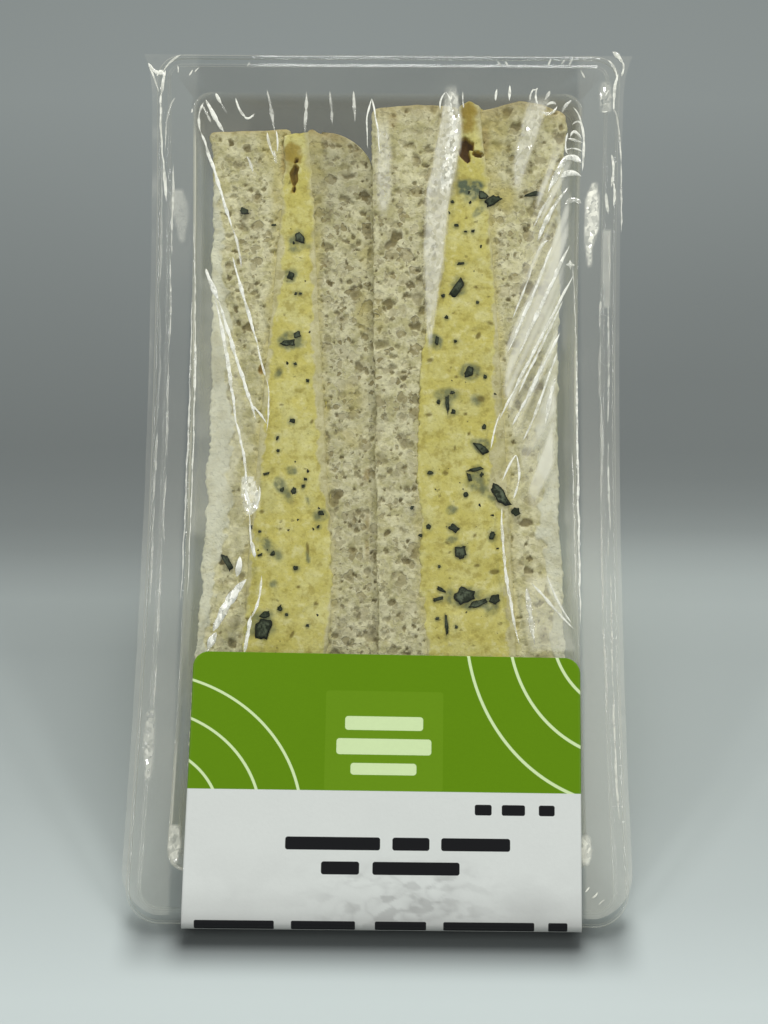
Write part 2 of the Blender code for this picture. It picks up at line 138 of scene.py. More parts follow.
@dataclass(frozen=True)
class Pack:
    """Driving sizes of the wedge pack, in metres, as the CAD model has them."""

    gap: float = 0.0003
    wall: float = 0.0005
    flange_half: float = 0.0480
    flange_tall: float = 0.1747
    flange_radii: tuple[float, float] = (0.0070, 0.0055)
    waist: float = 0.0020
    waist_fade: float = 0.0300
    rim_width: float = 0.0022
    rim_drop: float = 0.0012
    lip_drop: float = 0.0028
    mouth_half: float = 0.0398
    mouth_low: float = 0.0104
    mouth_high: float = 0.1654
    mouth_radius: float = 0.0035
    edge_round: float = 0.0007
    collar_deep: float = 0.0054
    collar_draft: float = 0.0010
    spine_half: float = 0.0374
    spine_radius: float = 0.0095
    film_lift: float = 0.0004
    film_low: float = 0.0016
    film_high: float = 0.1738
    film_overhang: float = 0.0006
    film_tip: float = 0.0016
    film_tip_reach: float = 0.0120
    film_lower_radius: float = 0.0090
    label_half: float = 0.0375
    label_shift: float = 0.0010
    label_top: float = 0.0509
    label_thick: float = 0.00025
    label_lift: float = 0.0010
    label_corner: float = 0.0030
    label_fold_v: float = 0.0006
    label_fold_radius: float = 0.0010
    label_meets_side: float = 0.0160
    label_under_end: float = 0.0440

    @property
    def slope_half(self) -> float:
        """Half the height of the opening between the two sloping sides, at the collar's foot."""
        return (self.mouth_high - self.mouth_low) / 2 - self.collar_draft

    @property
    def spine_centre(self) -> float:
        """Depth of the centre of the round between the sloping sides."""
        return self.collar_deep + self.slope_half - self.spine_radius * math.sqrt(2)

    @property
    def resting_angle(self) -> float:
        """How far the window leans up from the floor when the pack rests on its label fold and spine."""
        fold = self.label_fold_radius + self.label_thick
        along = (self.mouth_high + self.mouth_low) / 2 - self.label_fold_v
        down = self.spine_centre - self.lip_drop
        drop = self.spine_radius + self.wall - fold
        return math.atan2(down, along) + math.asin(drop / math.hypot(along, down))

    def waisted(self, x: Array, v: Array, depth: Array | float = 0.0) -> Array:
        """Draws both long sides in towards mid-height, as the tight film does.

        Args:
            x, v: Places in the window's plane.
            depth: How deep behind the window they lie.

        Returns:
            The new x of each place.
        """
        middle = self.flange_tall / 2
        draw = self.waist * (1 - ((v - middle) / middle) ** 2) * (1 - smooth(depth / self.waist_fade))
        return x - np.copysign(draw, x) * np.minimum(1.0, np.abs(x) / self.mouth_half)


PACK = Pack()


@dataclass
class Shape:
    """A mesh in the making: its points as (x, v, w), its faces, marks at its points and loose edges."""

    points: Array
    faces: list[list[int]]
    marks: dict[str, Array] = field(default_factory=dict)
    edges: list[tuple[int, int]] = field(default_factory=list)

    def mesh(self, name: str) -> bpy.types.Mesh:
        """Makes the mesh, smooth-shaded, with one number for each point under every mark's name.

        Args:
            name: The mesh's name.

        Returns:
            The new mesh, still in the pack's coordinates.
        """
        mesh = bpy.data.meshes.new(name)
        mesh.from_pydata(self.points.reshape(-1, 3).tolist(), self.edges, self.faces)
        for mark, values in self.marks.items():
            kept = mesh.attributes.new(mark, "FLOAT", "POINT")
            kept.data.foreach_set("value", np.asarray(values, np.float32).ravel())
        mesh.shade_smooth()
        return mesh


def sheet_faces(rows: int, columns: int) -> list[list[int]]:
    """Four-sided faces over a grid of points that is stored row by row.

    Args:
        rows, columns: How many points the grid has each way.

    Returns:
        The faces as lists of point numbers.
    """
    number = np.arange(rows * columns).reshape(rows, columns)
    corners = (number[:-1, :-1], number[:-1, 1:], number[1:, 1:], number[1:, :-1])
    return np.stack([corner.ravel() for corner in corners], axis=1).tolist()


def weld(mesh: bpy.types.Mesh, reach: float = 0.000001, outwards: bool = True) -> None:
    """Welds what coincides in a mesh.

    Args:
        mesh: The mesh, changed in place.
        reach: Points closer than this, in metres, become one.
        outwards: Whether all faces of the closed mesh are turned outwards too.
    """
    bm = bmesh.new()
    bm.from_mesh(mesh)
    bmesh.ops.remove_doubles(bm, verts=bm.verts, dist=reach)
    if outwards:
        bmesh.ops.recalc_face_normals(bm, faces=bm.faces)
    bm.to_mesh(mesh)
    bm.free()


def thickened(depth: float) -> Callable[[Piece], None]:
    """The step that gives a sheet its thickness, on its outer side.

    Args:
        depth: The thickness, in metres.

    Returns:
        A function that puts the modifier on a piece.
    """
    def add(piece: Piece) -> None:
        skin = piece.modifiers.new("thickness", "SOLIDIFY")
        skin.thickness = depth
        skin.offset = -1.0
        skin.use_even_offset = True

    return add


class Stand:
    """Leans the pack back as it rests, where the CAD pack stands."""

    def __init__(self, pack: Pack) -> None:
        """Finds the turn from the pack's sizes and the place from the CAD tray's box.

        Args:
            pack: The pack's sizes.
        """
        turn = Matrix.Rotation(pack.resting_angle, 4, "X")
        bend = pack.edge_round * (1 - math.sqrt(0.5))
        farthest = turn @ Vector((0, pack.flange_tall, -pack.lip_drop))
        highest = turn @ Vector((0, pack.flange_tall - bend, -pack.rim_drop - bend))
        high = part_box("tray")[1]
        self.matrix = Matrix.Translation((0, high.y - farthest.y, high.z - highest.z)) @ turn

    def piece(self, name: str, mesh: bpy.types.Mesh, finish: Material | None,
              modifiers: Callable[[Piece], None] | None = None) -> Piece:
        """Makes a finished piece from a mesh in the pack's coordinates.

        Args:
            name: The piece's name.
            mesh: Its mesh, which is taken over.
            finish: Its material, or None where its modifiers set one.
            modifiers: Adds modifiers to the piece, which are then applied.

        Returns:
            The piece, at the origin, with its place in its mesh.
        """
        if finish is not None:
            mesh.materials.clear()
            mesh.materials.append(finish)
        made = bpy.data.objects.new(name, mesh)
        bpy.context.scene.collection.objects.link(made)
        if modifiers is not None:
            modifiers(made)
            bpy.context.view_layer.update()
            graph = bpy.context.evaluated_depsgraph_get()
            made.data = bpy.data.meshes.new_from_object(made.evaluated_get(graph))
            made.modifiers.clear()
        made.data.transform(self.matrix)
        made.data.name = name
        return made


STAND = Stand(PACK)


class Slot(Enum):
    """The record's material slots."""

    TRAY = "tray"
    FILM = "film"
    LABEL = "label"
    BREAD = "bread"
    EGG = "egg"


def settle(piece: Piece, slot: Slot, node: str | None = None) -> None:
    """Lets a piece ride on the pack, hides the CAD node that it stands for, and logs it.

    Args:
        piece: The finished piece.
        slot: Not used.
        node: The CAD node that it replaces, if any.
    """
    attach(piece, BODY)
    if node is not None:
        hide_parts(node)
    log.info("%s: %d faces%s", piece.name, len(piece.data.polygons), f", for {node}" if node else "")


class Tree:
    """A node tree that is being filled, with short ways to add nodes and feed their sockets."""

    def __init__(self, tree: Group) -> None:
        """Starts on a tree."""
        self.tree = tree

    def add(self, kind: str, feeds: dict | None = None, **settings: object) -> bpy.types.Node:
        """Adds one node.

        Args:
            kind: The node's type name.
            feeds: What goes into its sockets, by socket name or number: values or other sockets.
            settings: The node's own properties.

        Returns:
            The new node.
        """
        node = self.tree.nodes.new(kind)
        for name, value in settings.items():
            setattr(node, name, value)
        for name, value in (feeds or {}).items():
            self.feed(node.inputs[name], value)
        return node

    def feed(self, socket: Socket, value: object) -> None:
        """Links another socket into a socket, or sets its plain value.

        Args:
            socket: The socket that is fed.
            value: A socket, or a value that the socket takes.
        """
        if isinstance(value, bpy.types.NodeSocket):
            self.tree.links.new(value, socket)
        elif socket.type == "RGBA" and len(value) == 3:
            socket.default_value = (*value, 1.0)
        else:
            socket.default_value = value

    def math(self, operation: str, *values: object) -> Socket:
        """One sum on numbers, named as the Math node has it."""
        return self.add("ShaderNodeMath", dict(enumerate(values)), operation=operation).outputs[0]

    def times(self, *values: object) -> Socket:
        """The product of two numbers."""
        return self.math("MULTIPLY", *values)

    def rest(self, value: object) -> Socket:
        """What a number leaves of 1."""
        return self.math("SUBTRACT", 1.0, value)

    def vector(self, operation: str, *values: object) -> Socket:
        """One sum on vectors, named as the Vector Math node has it."""
        return self.add("ShaderNodeVectorMath", dict(enumerate(values)), operation=operation).outputs[0]

    def scaled(self, vector: Socket, factor: object) -> Socket:
        """A vector made longer or shorter."""
        return self.add("ShaderNodeVectorMath", {0: vector, "Scale": factor}, operation="SCALE").outputs[0]

    def length(self, vector: Socket) -> Socket:
        """A vector's length."""
        return self.add("ShaderNodeVectorMath", {0: vector}, operation="LENGTH").outputs["Value"]

    def warped(self, place: Socket, scale: float, reach: float, detail: float = 2.0) -> Socket:
        """Shifts coordinates by fine noise, so that cells on them get uneven walls.

        Args:
            place: The coordinates.
            scale: The noise's scale.
            reach: How far it shifts, in metres.
            detail: The noise's detail.

        Returns:
            The new coordinates' socket.
        """
        feeds = {"Vector": place, "Scale": scale, "Detail": detail}
        shift = self.add("ShaderNodeTexNoise", feeds).outputs["Color"]
        return self.vector("ADD", place, self.scaled(shift, reach))

    def shaded(self, colour: Socket, shade: Socket) -> Socket:
        """A colour made darker or lighter by a grey number."""
        grey = self.add("ShaderNodeCombineColor", {0: shade, 1: shade, 2: shade}).outputs[0]
        return self.mix(1.0, colour, grey, "MULTIPLY")

    def dress(self, colour: Socket, roughness: float, specular: float, normal: Socket | None = None) -> None:
        """Ends a material with its shader.

        Args:
            colour: The base colour.
            roughness, specular: The shader's own numbers.
            normal: The normal, if it isn't the mesh's own.
        """
        feeds = {"Base Color": colour, "Roughness": roughness, "Specular IOR Level": specular}
        if normal is not None:
            feeds["Normal"] = normal
        shader = self.add("ShaderNodeBsdfPrincipled", feeds).outputs[0]
        self.add("ShaderNodeOutputMaterial", {"Surface": shader})

    def span(self, value: object, low: float, high: float, to_low: float = 0.0,
             to_high: float = 1.0) -> Socket:
        """Maps a range of a value smoothly onto another range, and holds it there outside."""
        feeds = {0: value, 1: low, 2: high, 3: to_low, 4: to_high}
        return self.add("ShaderNodeMapRange", feeds, interpolation_type="SMOOTHSTEP").outputs[0]

    def mix(self, share: object, first: object, second: object, blend: str = "MIX") -> Socket:
        """Mixes two colours.

        Args:
            share: How much of the second colour shows.
            first, second: The colours or sockets.
            blend: The blend type.

        Returns:
            The mixed colour's socket.
        """
        node = self.add("ShaderNodeMix", data_type="RGBA", blend_type=blend, clamp_factor=True)
        for number, value in ((0, share), (6, first), (7, second)):
            self.feed(node.inputs[number], value)
        return node.outputs[2]

    def mark(self, name: str) -> Socket:
        """Reads a number that the mesh keeps at its points."""
        return self.add("ShaderNodeAttribute", attribute_name=name).outputs["Fac"]

    def group(self, group: Group, **feeds: object) -> bpy.types.bpy_prop_collection:
        """Places a node group, feeds its inputs by name and gives its outputs."""
        return self.add("ShaderNodeGroup", feeds, node_tree=group).outputs

    def part(self, colour: Socket) -> Socket:
        """A colour's red part, as a random number."""
        return self.add("ShaderNodeSeparateColor", {0: colour}).outputs[0]

    def place(self) -> Socket:
        """Object coordinates, in metres."""
        return self.add("ShaderNodeTexCoord").outputs["Object"]

    def noise(self, place: Socket, size: float, detail: float = 2.0, roughness: float = 0.5) -> Socket:
        """Noise between 0 and 1."""
        feeds = {"Vector": place, "Scale": 1 / size, "Detail": detail, "Roughness": roughness}
        return self.add("ShaderNodeTexNoise", feeds).outputs[0]

    def bump(self, height: Socket, strength: float, distance: float) -> Socket:
        """Turns a height into a normal."""
        feeds = {"Strength": strength, "Distance": distance, "Height": height}
        return self.add("ShaderNodeBump", feeds).outputs[0]


def new_material(name: str) -> tuple[Material, Tree]:
    """An empty material and its tree.

    Args:
        name: The material's name.

    Returns:
        The material, and its tree to fill.
    """
    made = bpy.data.materials.new(name)
    made.use_nodes = True
    made.node_tree.nodes.clear()
    return made, Tree(made.node_tree)


def new_group(name: str, kind: str, inputs: dict[str, object], outputs: dict[str, str]) -> tuple:
    """A node group with named inputs and outputs.

    Args:
        name: The group's name.
        kind: The tree's type name.
        inputs: Each input's name, with its default value or, for geometry or a material, its type.
        outputs: Each output's name and socket type.

    Returns:
        The group's tree, the node that holds its inputs and the one that takes its outputs.
    """
    group = bpy.data.node_groups.new(name, kind)
    kinds = {float: "NodeSocketFloat", int: "NodeSocketInt", tuple: "NodeSocketVector"}
    for label, value in inputs.items():
        plain = kinds.get(type(value))
        socket = group.interface.new_socket(label, in_out="INPUT", socket_type=plain or value)
        if plain:
            socket.default_value = value
    for label, socket_type in outputs.items():
        group.interface.new_socket(label, in_out="OUTPUT", socket_type=socket_type)
    tree = Tree(group)
    return tree, tree.add("NodeGroupInput").outputs, tree.add("NodeGroupOutput").inputs


def smudge_group() -> Group:
    """Shader group for handled clear plastic: faint haze in patches, fine scratches and a soft ripple.

    Returns:
        The group, with inputs Patch size, Haze and Ripple size and outputs Haze and Height.
    """
    inputs = {"Patch size": 0.02, "Haze": 0.05, "Ripple size": 0.006}
    tree, given, wanted = new_group("handled_plastic", "ShaderNodeTree", inputs,
                                    {"Haze": "NodeSocketFloat", "Height": "NodeSocketFloat"})
    place = tree.place()
    patches = tree.add("ShaderNodeTexNoise", {"Vector": place, "Detail": 4.0, "Roughness": 0.62})
    tree.feed(patches.inputs["Scale"], tree.math("DIVIDE", 1.0, given["Patch size"]))
    grit = tree.noise(place, 0.0009, 3.0, 0.7)
    cloud = tree.span(patches.outputs[0], 0.42, 0.78)
    spots = tree.span(grit, 0.35, 0.75, 0.35, 1.0)
    tree.feed(wanted["Haze"], tree.times(tree.times(cloud, spots), given["Haze"]))
    ripple = tree.add("ShaderNodeTexNoise", {"Vector": place, "Detail": 1.0})
    tree.feed(ripple.inputs["Scale"], tree.math("DIVIDE", 1.0, given["Ripple size"]))
    tree.feed(wanted["Height"], tree.math("ADD", ripple.outputs[0], tree.times(grit, 0.06)))
    return tree.tree


def mottle_group() -> Group:
    """Shader group for uneven colour and grain of food and paper.

    Returns:
        The group, with inputs Broad, Fine and Amount and outputs Shade, round 1, and Grain, 0 to 1.
    """
    tree, given, wanted = new_group("mottle", "ShaderNodeTree", {"Broad": 0.01, "Fine": 0.001, "Amount": 0.2},
                                    {"Shade": "NodeSocketFloat", "Grain": "NodeSocketFloat"})
    place = tree.place()
    parts = []
    for size in ("Broad", "Fine"):
        part = tree.add("ShaderNodeTexNoise", {"Vector": place, "Detail": 3.0, "Roughness": 0.6})
        tree.feed(part.inputs["Scale"], tree.math("DIVIDE", 1.0, given[size]))
        parts.append(part.outputs[0])
    both = tree.math("SUBTRACT", tree.math("ADD", *parts), 1.0)
    tree.feed(wanted["Shade"], tree.math("ADD", 1.0, tree.times(both, given["Amount"])))
    tree.feed(wanted["Grain"], parts[1])
    return tree.tree


def crumb_group() -> Group:
    """Shader group for white bread's crumb: pale walls round small open cells with painted highlight on
    their rims, and painted shade in the holes and the deep pores.

    Returns:
        The group, with inputs Open and Pore, 0 to 1, and outputs Colour and Height.
    """
    tree, given, wanted = new_group("crumb", "ShaderNodeTree", {"Open": 1.0, "Pore": 0.0},
                                    {"Colour": "NodeSocketColor", "Height": "NodeSocketFloat"})
    place = tree.place()
    spot = tree.warped(place, 700.0, 0.0018, 3.0)
    blotch = tree.span(tree.noise(place, 0.0026, 4.0, 0.65), 0.36, 0.64)
    colour = tree.mix(blotch, linear(190, 184, 134), linear(222, 217, 176))
    low = tree.span(tree.noise(place, 0.0007, 3.0, 0.7), 0.50, 0.75, 0.0, 0.40)
    colour = tree.mix(tree.times(low, given["Open"]), colour, linear(150, 139, 92))
    for size, room, metric in ((0.0025, 0.62, "EUCLIDEAN"), (0.0013, 0.78, "MANHATTAN")):
        cells = tree.add("ShaderNodeTexVoronoi", {"Vector": spot, "Scale": 1 / size}, distance=metric)
        level, depth = tree.add("ShaderNodeSeparateColor", {0: cells.outputs["Color"]}).outputs[:2]
        radius = tree.times(tree.math("POWER", level, 1.3), room)
        past = tree.math("SUBTRACT", cells.outputs["Distance"], radius)
        # Each cell's rim is lightened as painted highlight, and its hole darkened as painted shade
        rim = tree.times(tree.span(past, 0.02, 0.16, 0.45, 0.0), given["Open"])
        colour = tree.mix(rim, colour, linear(224, 219, 184))
        hole = tree.times(tree.span(past, -0.09, 0.03, 1.0, 0.0), tree.span(depth, 0.0, 1.0, 0.25, 0.95))
        hole = tree.times(hole, given["Open"])
        colour = tree.mix(hole, colour, linear(146, 135, 90))
        low = tree.math("MAXIMUM", low, hole)
    # Painted shade in the pores carved into the cut face
    colour = tree.mix(tree.times(given["Pore"], 0.85), colour, linear(118, 106, 62))
    tree.feed(wanted["Colour"], colour)
    tree.feed(wanted["Height"], tree.math("SUBTRACT", tree.noise(place, 0.0011, 3.0, 0.6), low))
    return tree.tree


SMUDGE = smudge_group()
MOTTLE = mottle_group()
CRUMB = crumb_group()


@dataclass(frozen=True)
class ClearFinish:
    """Clear plastic that mirrors by its angle, lets the rest through, and has some white haze.

    The mirror is the same from both sides, as the sheet is thin. Haze comes from handling, from a
    mark on the mesh, and from how much plastic a slanting look passes through at a bend; the mark
    also carries painted highlights and painted sheen as white haze. Creased plastic lies in several
    layers, so it mirrors more, and its facets face many ways. A shade mark paints shade by tinting
    what shows through darker.
    """

    name: str
    tint: Colour
    index: float
    roughness: float
    patch_size: float
    haze: float
    ripple_size: float
    ripple_height: float
    edge_haze: float = 0.0
    least_mirror: float = 0.0
    haze_mark: str = ""
    shade_mark: str = ""
    shade_tint: Colour = (0.80, 0.78, 0.74)
    crinkle_mark: str = ""
    dull_mark: str = ""
    soft_sides: bool = False
    facet_size: float = 0.0006
    facet_tilt: float = 0.42
    facet_mirror: float = 0.20
    haze_colour: Colour = (0.96, 0.95, 0.81)

    def material(self) -> Material:
        """Builds the material.

        Returns:
            The finished material.
        """
        made, tree = new_material(self.name)
        feeds = {"Patch size": self.patch_size, "Haze": self.haze, "Ripple size": self.ripple_size}
        handled = tree.group(SMUDGE, **feeds)
        normal = tree.bump(handled["Height"], 1.0, self.ripple_height)
        back = tree.add("ShaderNodeNewGeometry").outputs["Backfacing"]
        index = tree.math("POWER", self.index, tree.rest(tree.times(back, 2.0)))
        share = tree.add("ShaderNodeFresnel", {"IOR": index, "Normal": normal}).outputs[0]
        share = tree.math("MAXIMUM", share, self.least_mirror)
        if self.dull_mark:
            kept = tree.rest(tree.times(tree.mark(self.dull_mark), 0.9))
            share = tree.times(share, kept)
        haze = handled["Haze"]
        # The haze mark adds white: painted highlights at the tray's bends, and on the film and its creases
        # partly real whitening and partly painted highlight and reflection
        white = tree.mark(self.haze_mark) if self.haze_mark else None
        if self.crinkle_mark:
            crinkle = tree.mark(self.crinkle_mark)
            normal, uneven = self.facets(tree, normal, crinkle)
            share = tree.math("MAXIMUM", share, tree.times(crinkle, self.facet_mirror))
            white = tree.times(white, uneven)
        if self.soft_sides:
            slant = tree.add("ShaderNodeLayerWeight", {"Blend": 0.5}).outputs["Facing"]
            broken = tree.span(tree.noise(tree.place(), 0.0022, 3.0, 0.6), 0.34, 0.60, 0.40, 1.05)
            white = tree.times(tree.times(white, broken), tree.span(slant, 0.30, 0.95, 1.0, 0.0))
        if white is not None:
            haze = tree.math("ADD", haze, white)
        if self.edge_haze:
            slant = tree.add("ShaderNodeLayerWeight", {"Blend": 0.35}).outputs["Facing"]
            edge = tree.times(tree.math("POWER", slant, 3.0), self.edge_haze)
            if self.dull_mark:
                left = tree.rest(tree.times(tree.mark(self.dull_mark), 0.8))
                edge = tree.times(edge, left)
            haze = tree.math("ADD", haze, edge)
        haze = tree.math("MINIMUM", haze, 0.9)
        tint = self.tint
        # Painted shade: where the shade mark is, what shows through is tinted darker
        if self.shade_mark:
            tint = tree.mix(tree.mark(self.shade_mark), tint, self.shade_tint)
        through = tree.add("ShaderNodeBsdfTransparent", {"Color": tint}).outputs[0]
        mirror = tree.add("ShaderNodeBsdfGlossy", {"Roughness": self.roughness, "Normal": normal}).outputs[0]
        clear = tree.add("ShaderNodeMixShader", {0: share, 1: through, 2: mirror}).outputs[0]
        # The haze's white is warm cream; on the creases over the food that warmth is painted reflection of
        # the food
        white = tree.add("ShaderNodeBsdfDiffuse", {"Color": self.haze_colour, "Normal": normal}).outputs[0]
        surface = tree.add("ShaderNodeMixShader", {0: haze, 1: clear, 2: white}).outputs[0]
        tree.add("ShaderNodeOutputMaterial", {"Surface": surface})
        return made

    def facets(self, tree: Tree, normal: Socket, crinkle: Socket) -> tuple[Socket, Socket]:
        """Tilts small facets at random where the mesh is marked as crinkled, and whitens them unevenly.

        Args:
            tree: The material's tree.
            normal: The normal so far.
            crinkle: How crinkled the place is.

        Returns:
            The sockets of the new normal and of the factor for the whiteness.
        """
        feeds = {"Vector": tree.place(), "Rotation": (-PACK.resting_angle, 0, 0), "Scale": (1.0, 0.55, 1.0)}
        spot = tree.warped(tree.add("ShaderNodeMapping", feeds).outputs[0], 700.0, 0.0009)
        cells = tree.add("ShaderNodeTexVoronoi", {"Vector": spot, "Scale": 1 / self.facet_size})
        cells = cells.outputs["Color"]
        tilt = tree.vector("SUBTRACT", cells, (0.5, 0.5, 0.5))
        tilt = tree.scaled(tilt, tree.times(crinkle, 2 * self.facet_tilt))
        swing = tree.times(tree.math("SUBTRACT", tree.part(cells), 0.40), tree.times(crinkle, 1.1))
        return tree.vector("NORMALIZE", tree.vector("ADD", normal, tilt)), tree.math("ADD", 1.0, swing)


@dataclass(frozen=True)
class CrumbFinish:
    """Soft white bread: thin pale cell walls, pores, pressed white outer face, egg smears and thin crust,
    with painted highlight on the cell walls and painted shade in the pores.
    """

    name: str
    # How light the slice's crumb is as a whole: the outer slices are set lighter than the inner ones, partly
    # the bread's own tone and partly painted light and shade
    tone: float = 1.0
    pressed: Colour = linear(218, 217, 190)
    pressed_low: Colour = linear(196, 192, 158)
    smear: Colour = linear(194, 183, 112)
    soaked: Colour = linear(140, 110, 40)
    crust: Colour = linear(190, 174, 122)
    crust_dark: Colour = linear(172, 146, 92)

    def material(self) -> Material:
        """Builds the material.

        Returns:
            The finished material.
        """
        made, tree = new_material(self.name)
        place = tree.place()
        mottle = tree.group(MOTTLE, Broad=0.0080, Fine=0.0012, Amount=0.34)
        crumb = tree.group(CRUMB, Open=tree.mark("open"), Pore=tree.mark("pore_shade"))
        uneven = tree.span(tree.noise(place, 0.0024, 4.0, 0.65), 0.44, 0.64, 0.0, 0.7)
        skin = tree.mix(uneven, self.pressed, self.pressed_low)
        colour = tree.mix(tree.mark("pressed"), crumb["Colour"], skin)
        patchy = tree.span(tree.noise(place, 0.0030, 3.0), 0.22, 0.62, 0.45)
        colour = tree.mix(tree.times(tree.mark("smear"), patchy), colour, self.smear)
        colour = tree.mix(tree.mark("soaked"), colour, self.soaked)
        baked = tree.mix(tree.span(tree.noise(place, 0.006, 4.0), 0.35, 0.7), self.crust, self.crust_dark)
        colour = tree.mix(tree.mark("crust"), colour, baked)
        # Painted shade: the marked spots darken the crumb near the tops of the left inner slice and of the
        # right outer slice
        tone = tree.math("SUBTRACT", self.tone, tree.times(tree.mark("painted_shade"), 0.4))
        colour = tree.shaded(colour, tree.times(mottle["Shade"], tone))
        tree.dress(colour, 0.92, 0.15, tree.bump(crumb["Height"], 1.0, 0.00028))
        return made


@dataclass(frozen=True)
class EggFinish:
    """Moist egg salad: smooth pale yellow with whiter egg, sunk grey-green herbs and small olive bits,
    with painted shade in its holes and small pits.
    """

    yolk: Colour = linear(206, 196, 104)
    white: Colour = linear(218, 212, 138)
    olive: Colour = linear(112, 98, 34)
    deep: Colour = linear(156, 132, 44)
    hole_shade: Colour = linear(98, 66, 24)
    sunk: Colour = linear(94, 105, 78)
    smeared: Colour = linear(194, 184, 116)
    dull: Colour = linear(172, 158, 74)
    lump: Colour = linear(226, 220, 156)

    def material(self) -> Material:
        """Builds the material.

        Returns:
            The finished material.
        """
        made, tree = new_material("egg_salad")
        place = tree.place()
        mottle = tree.group(MOTTLE, Broad=0.006, Fine=0.0008, Amount=0.16)
        colour = tree.mix(tree.span(tree.noise(place, 0.0055, 4.0, 0.6), 0.40, 0.70), self.yolk, self.white)
        lump = tree.noise(place, 0.0021, 3.0, 0.6)
        colour = tree.mix(tree.span(lump, 0.52, 0.68, 0.0, 0.70), colour, self.lump)
        colour = tree.mix(tree.span(lump, 0.48, 0.32, 0.0, 0.70), colour, self.dull)
        grain = tree.span(tree.noise(place, 0.0006, 3.0, 0.7), 0.50, 0.76, 0.0, 0.6)
        colour = tree.mix(grain, colour, self.dull)
        spot = tree.warped(place, 1200.0, 0.0011)
        cells = tree.add("ShaderNodeTexVoronoi", {"Vector": spot, "Scale": 1 / 0.0024}).outputs
        kept = tree.span(tree.part(cells["Color"]), 0.62, 0.72)
        pits = tree.times(tree.span(cells["Distance"], 0.06, 0.19, 1.0, 0.0), kept)
        # The small pits get the olive colour as painted shade in their hollows
        olive = tree.math("MAXIMUM", tree.times(pits, 0.55), tree.mark("olive"))
        patchy = tree.span(tree.noise(place, 0.0013, 3.0), 0.30, 0.62, 0.45)
        colour = tree.mix(tree.times(tree.mark("sunk"), patchy), colour, self.sunk)
        colour = tree.mix(olive, colour, self.olive)
        bread = tree.mix(0.35, tree.group(CRUMB, Open=0.7)["Colour"], self.smeared)
        colour = tree.mix(tree.mark("crumb"), colour, bread)
        # Painted shade: the holes marked by the pit mark are coloured deep amber, and dark brown where
        # deepest
        colour = tree.mix(tree.span(tree.mark("pit"), 0.0, 0.55), colour, self.deep)
        colour = tree.mix(tree.span(tree.mark("pit"), 0.55, 1.0, 0.0, 0.9), colour, self.hole_shade)
        colour = tree.shaded(colour, mottle["Shade"])
        height = tree.math("SUBTRACT", mottle["Grain"], tree.times(pits, 0.6))
        tree.dress(colour, 0.55, 0.22, tree.bump(tree.math("ADD", height, lump), 0.6, 0.00022))
        return made


@dataclass(frozen=True)
class HerbFinish:
    """Chopped green leaf and stalk, dark at its cut rim and greyer in the middle."""

    rim: Colour = linear(25, 31, 17)
    leaf: Colour = linear(36, 44, 24)
    pale: Colour = linear(100, 110, 86)

    def material(self) -> Material:
        """Builds the material.

        Returns:
            The finished material.
        """
        made, tree = new_material("chopped_herb")
        place = tree.place()
        vein = tree.span(tree.noise(place, 0.0013, 3.0, 0.65), 0.40, 0.60)
        colour = tree.mix(tree.span(tree.mark("inner"), 0.0, 0.35), self.rim, self.leaf)
        inner = tree.times(tree.span(tree.mark("inner"), 0.10, 0.50), vein)
        colour = tree.mix(tree.times(inner, tree.mark("pale")), colour, self.pale)
        tree.dress(colour, 0.70, 0.08, tree.bump(vein, 0.5, 0.0001))
        return made


def box_group() -> Group:
    """Shader group for one printed box or bar with round corners, read from the label's own map.

    Returns:
        The group, with inputs Place, Centre, Half size, Corner and Soft and the output Ink, 0 to 1.
    """
    inputs = {"Place": (0.0, 0.0, 0.0), "Centre": (0.0, 0.0, 0.0), "Half size": (0.01, 0.01, 0.0),
              "Corner": 0.001, "Soft": 0.0001}
    tree, given, wanted = new_group("printed_box", "ShaderNodeTree", inputs, {"Ink": "NodeSocketFloat"})
    away = tree.vector("ABSOLUTE", tree.vector("SUBTRACT", given["Place"], given["Centre"]))
    inner = tree.add("ShaderNodeCombineXYZ", {0: given["Corner"], 1: given["Corner"]}).outputs[0]
    half = tree.vector("SUBTRACT", given["Half size"], inner)
    past = tree.vector("MAXIMUM", tree.vector("SUBTRACT", away, half), (0, 0, 0))
    length = tree.length(tree.vector("MULTIPLY", past, (1, 1, 0)))
    over = tree.math("DIVIDE", tree.math("SUBTRACT", length, given["Corner"]), given["Soft"])
    tree.feed(wanted["Ink"], tree.span(over, -0.5, 0.5, 1.0, 0.0))
    return tree.tree


def ring_group() -> Group:
    """Shader group for evenly spaced printed rings round one point of the label's own map.

    Returns:
        The group, with inputs Place, Centre, Stretch, First, Spacing, Count and Line and the output Ink.
    """
    inputs = {"Place": (0.0, 0.0, 0.0), "Centre": (0.0, 0.0, 0.0), "Stretch": (1.0, 1.0, 0.0), "First": 0.01,
              "Spacing": 0.01, "Count": 3.0, "Line": 0.0005}
    tree, given, wanted = new_group("printed_rings", "ShaderNodeTree", inputs, {"Ink": "NodeSocketFloat"})
    away = tree.vector("SUBTRACT", given["Place"], given["Centre"])
    length = tree.length(tree.vector("MULTIPLY", away, given["Stretch"]))
    turn = tree.math("DIVIDE", tree.math("SUBTRACT", length, given["First"]), given["Spacing"])
    last = tree.math("SUBTRACT", given["Count"], 1.0)
    nearest = tree.math("MINIMUM", tree.math("MAXIMUM", tree.math("ROUND", turn), 0.0), last)
    off = tree.times(tree.math("ABSOLUTE", tree.math("SUBTRACT", turn, nearest)), given["Spacing"])
    tree.feed(wanted["Ink"], tree.span(tree.math("DIVIDE", off, given["Line"]), 0.38, 0.62, 1.0, 0.0))
    return tree.tree


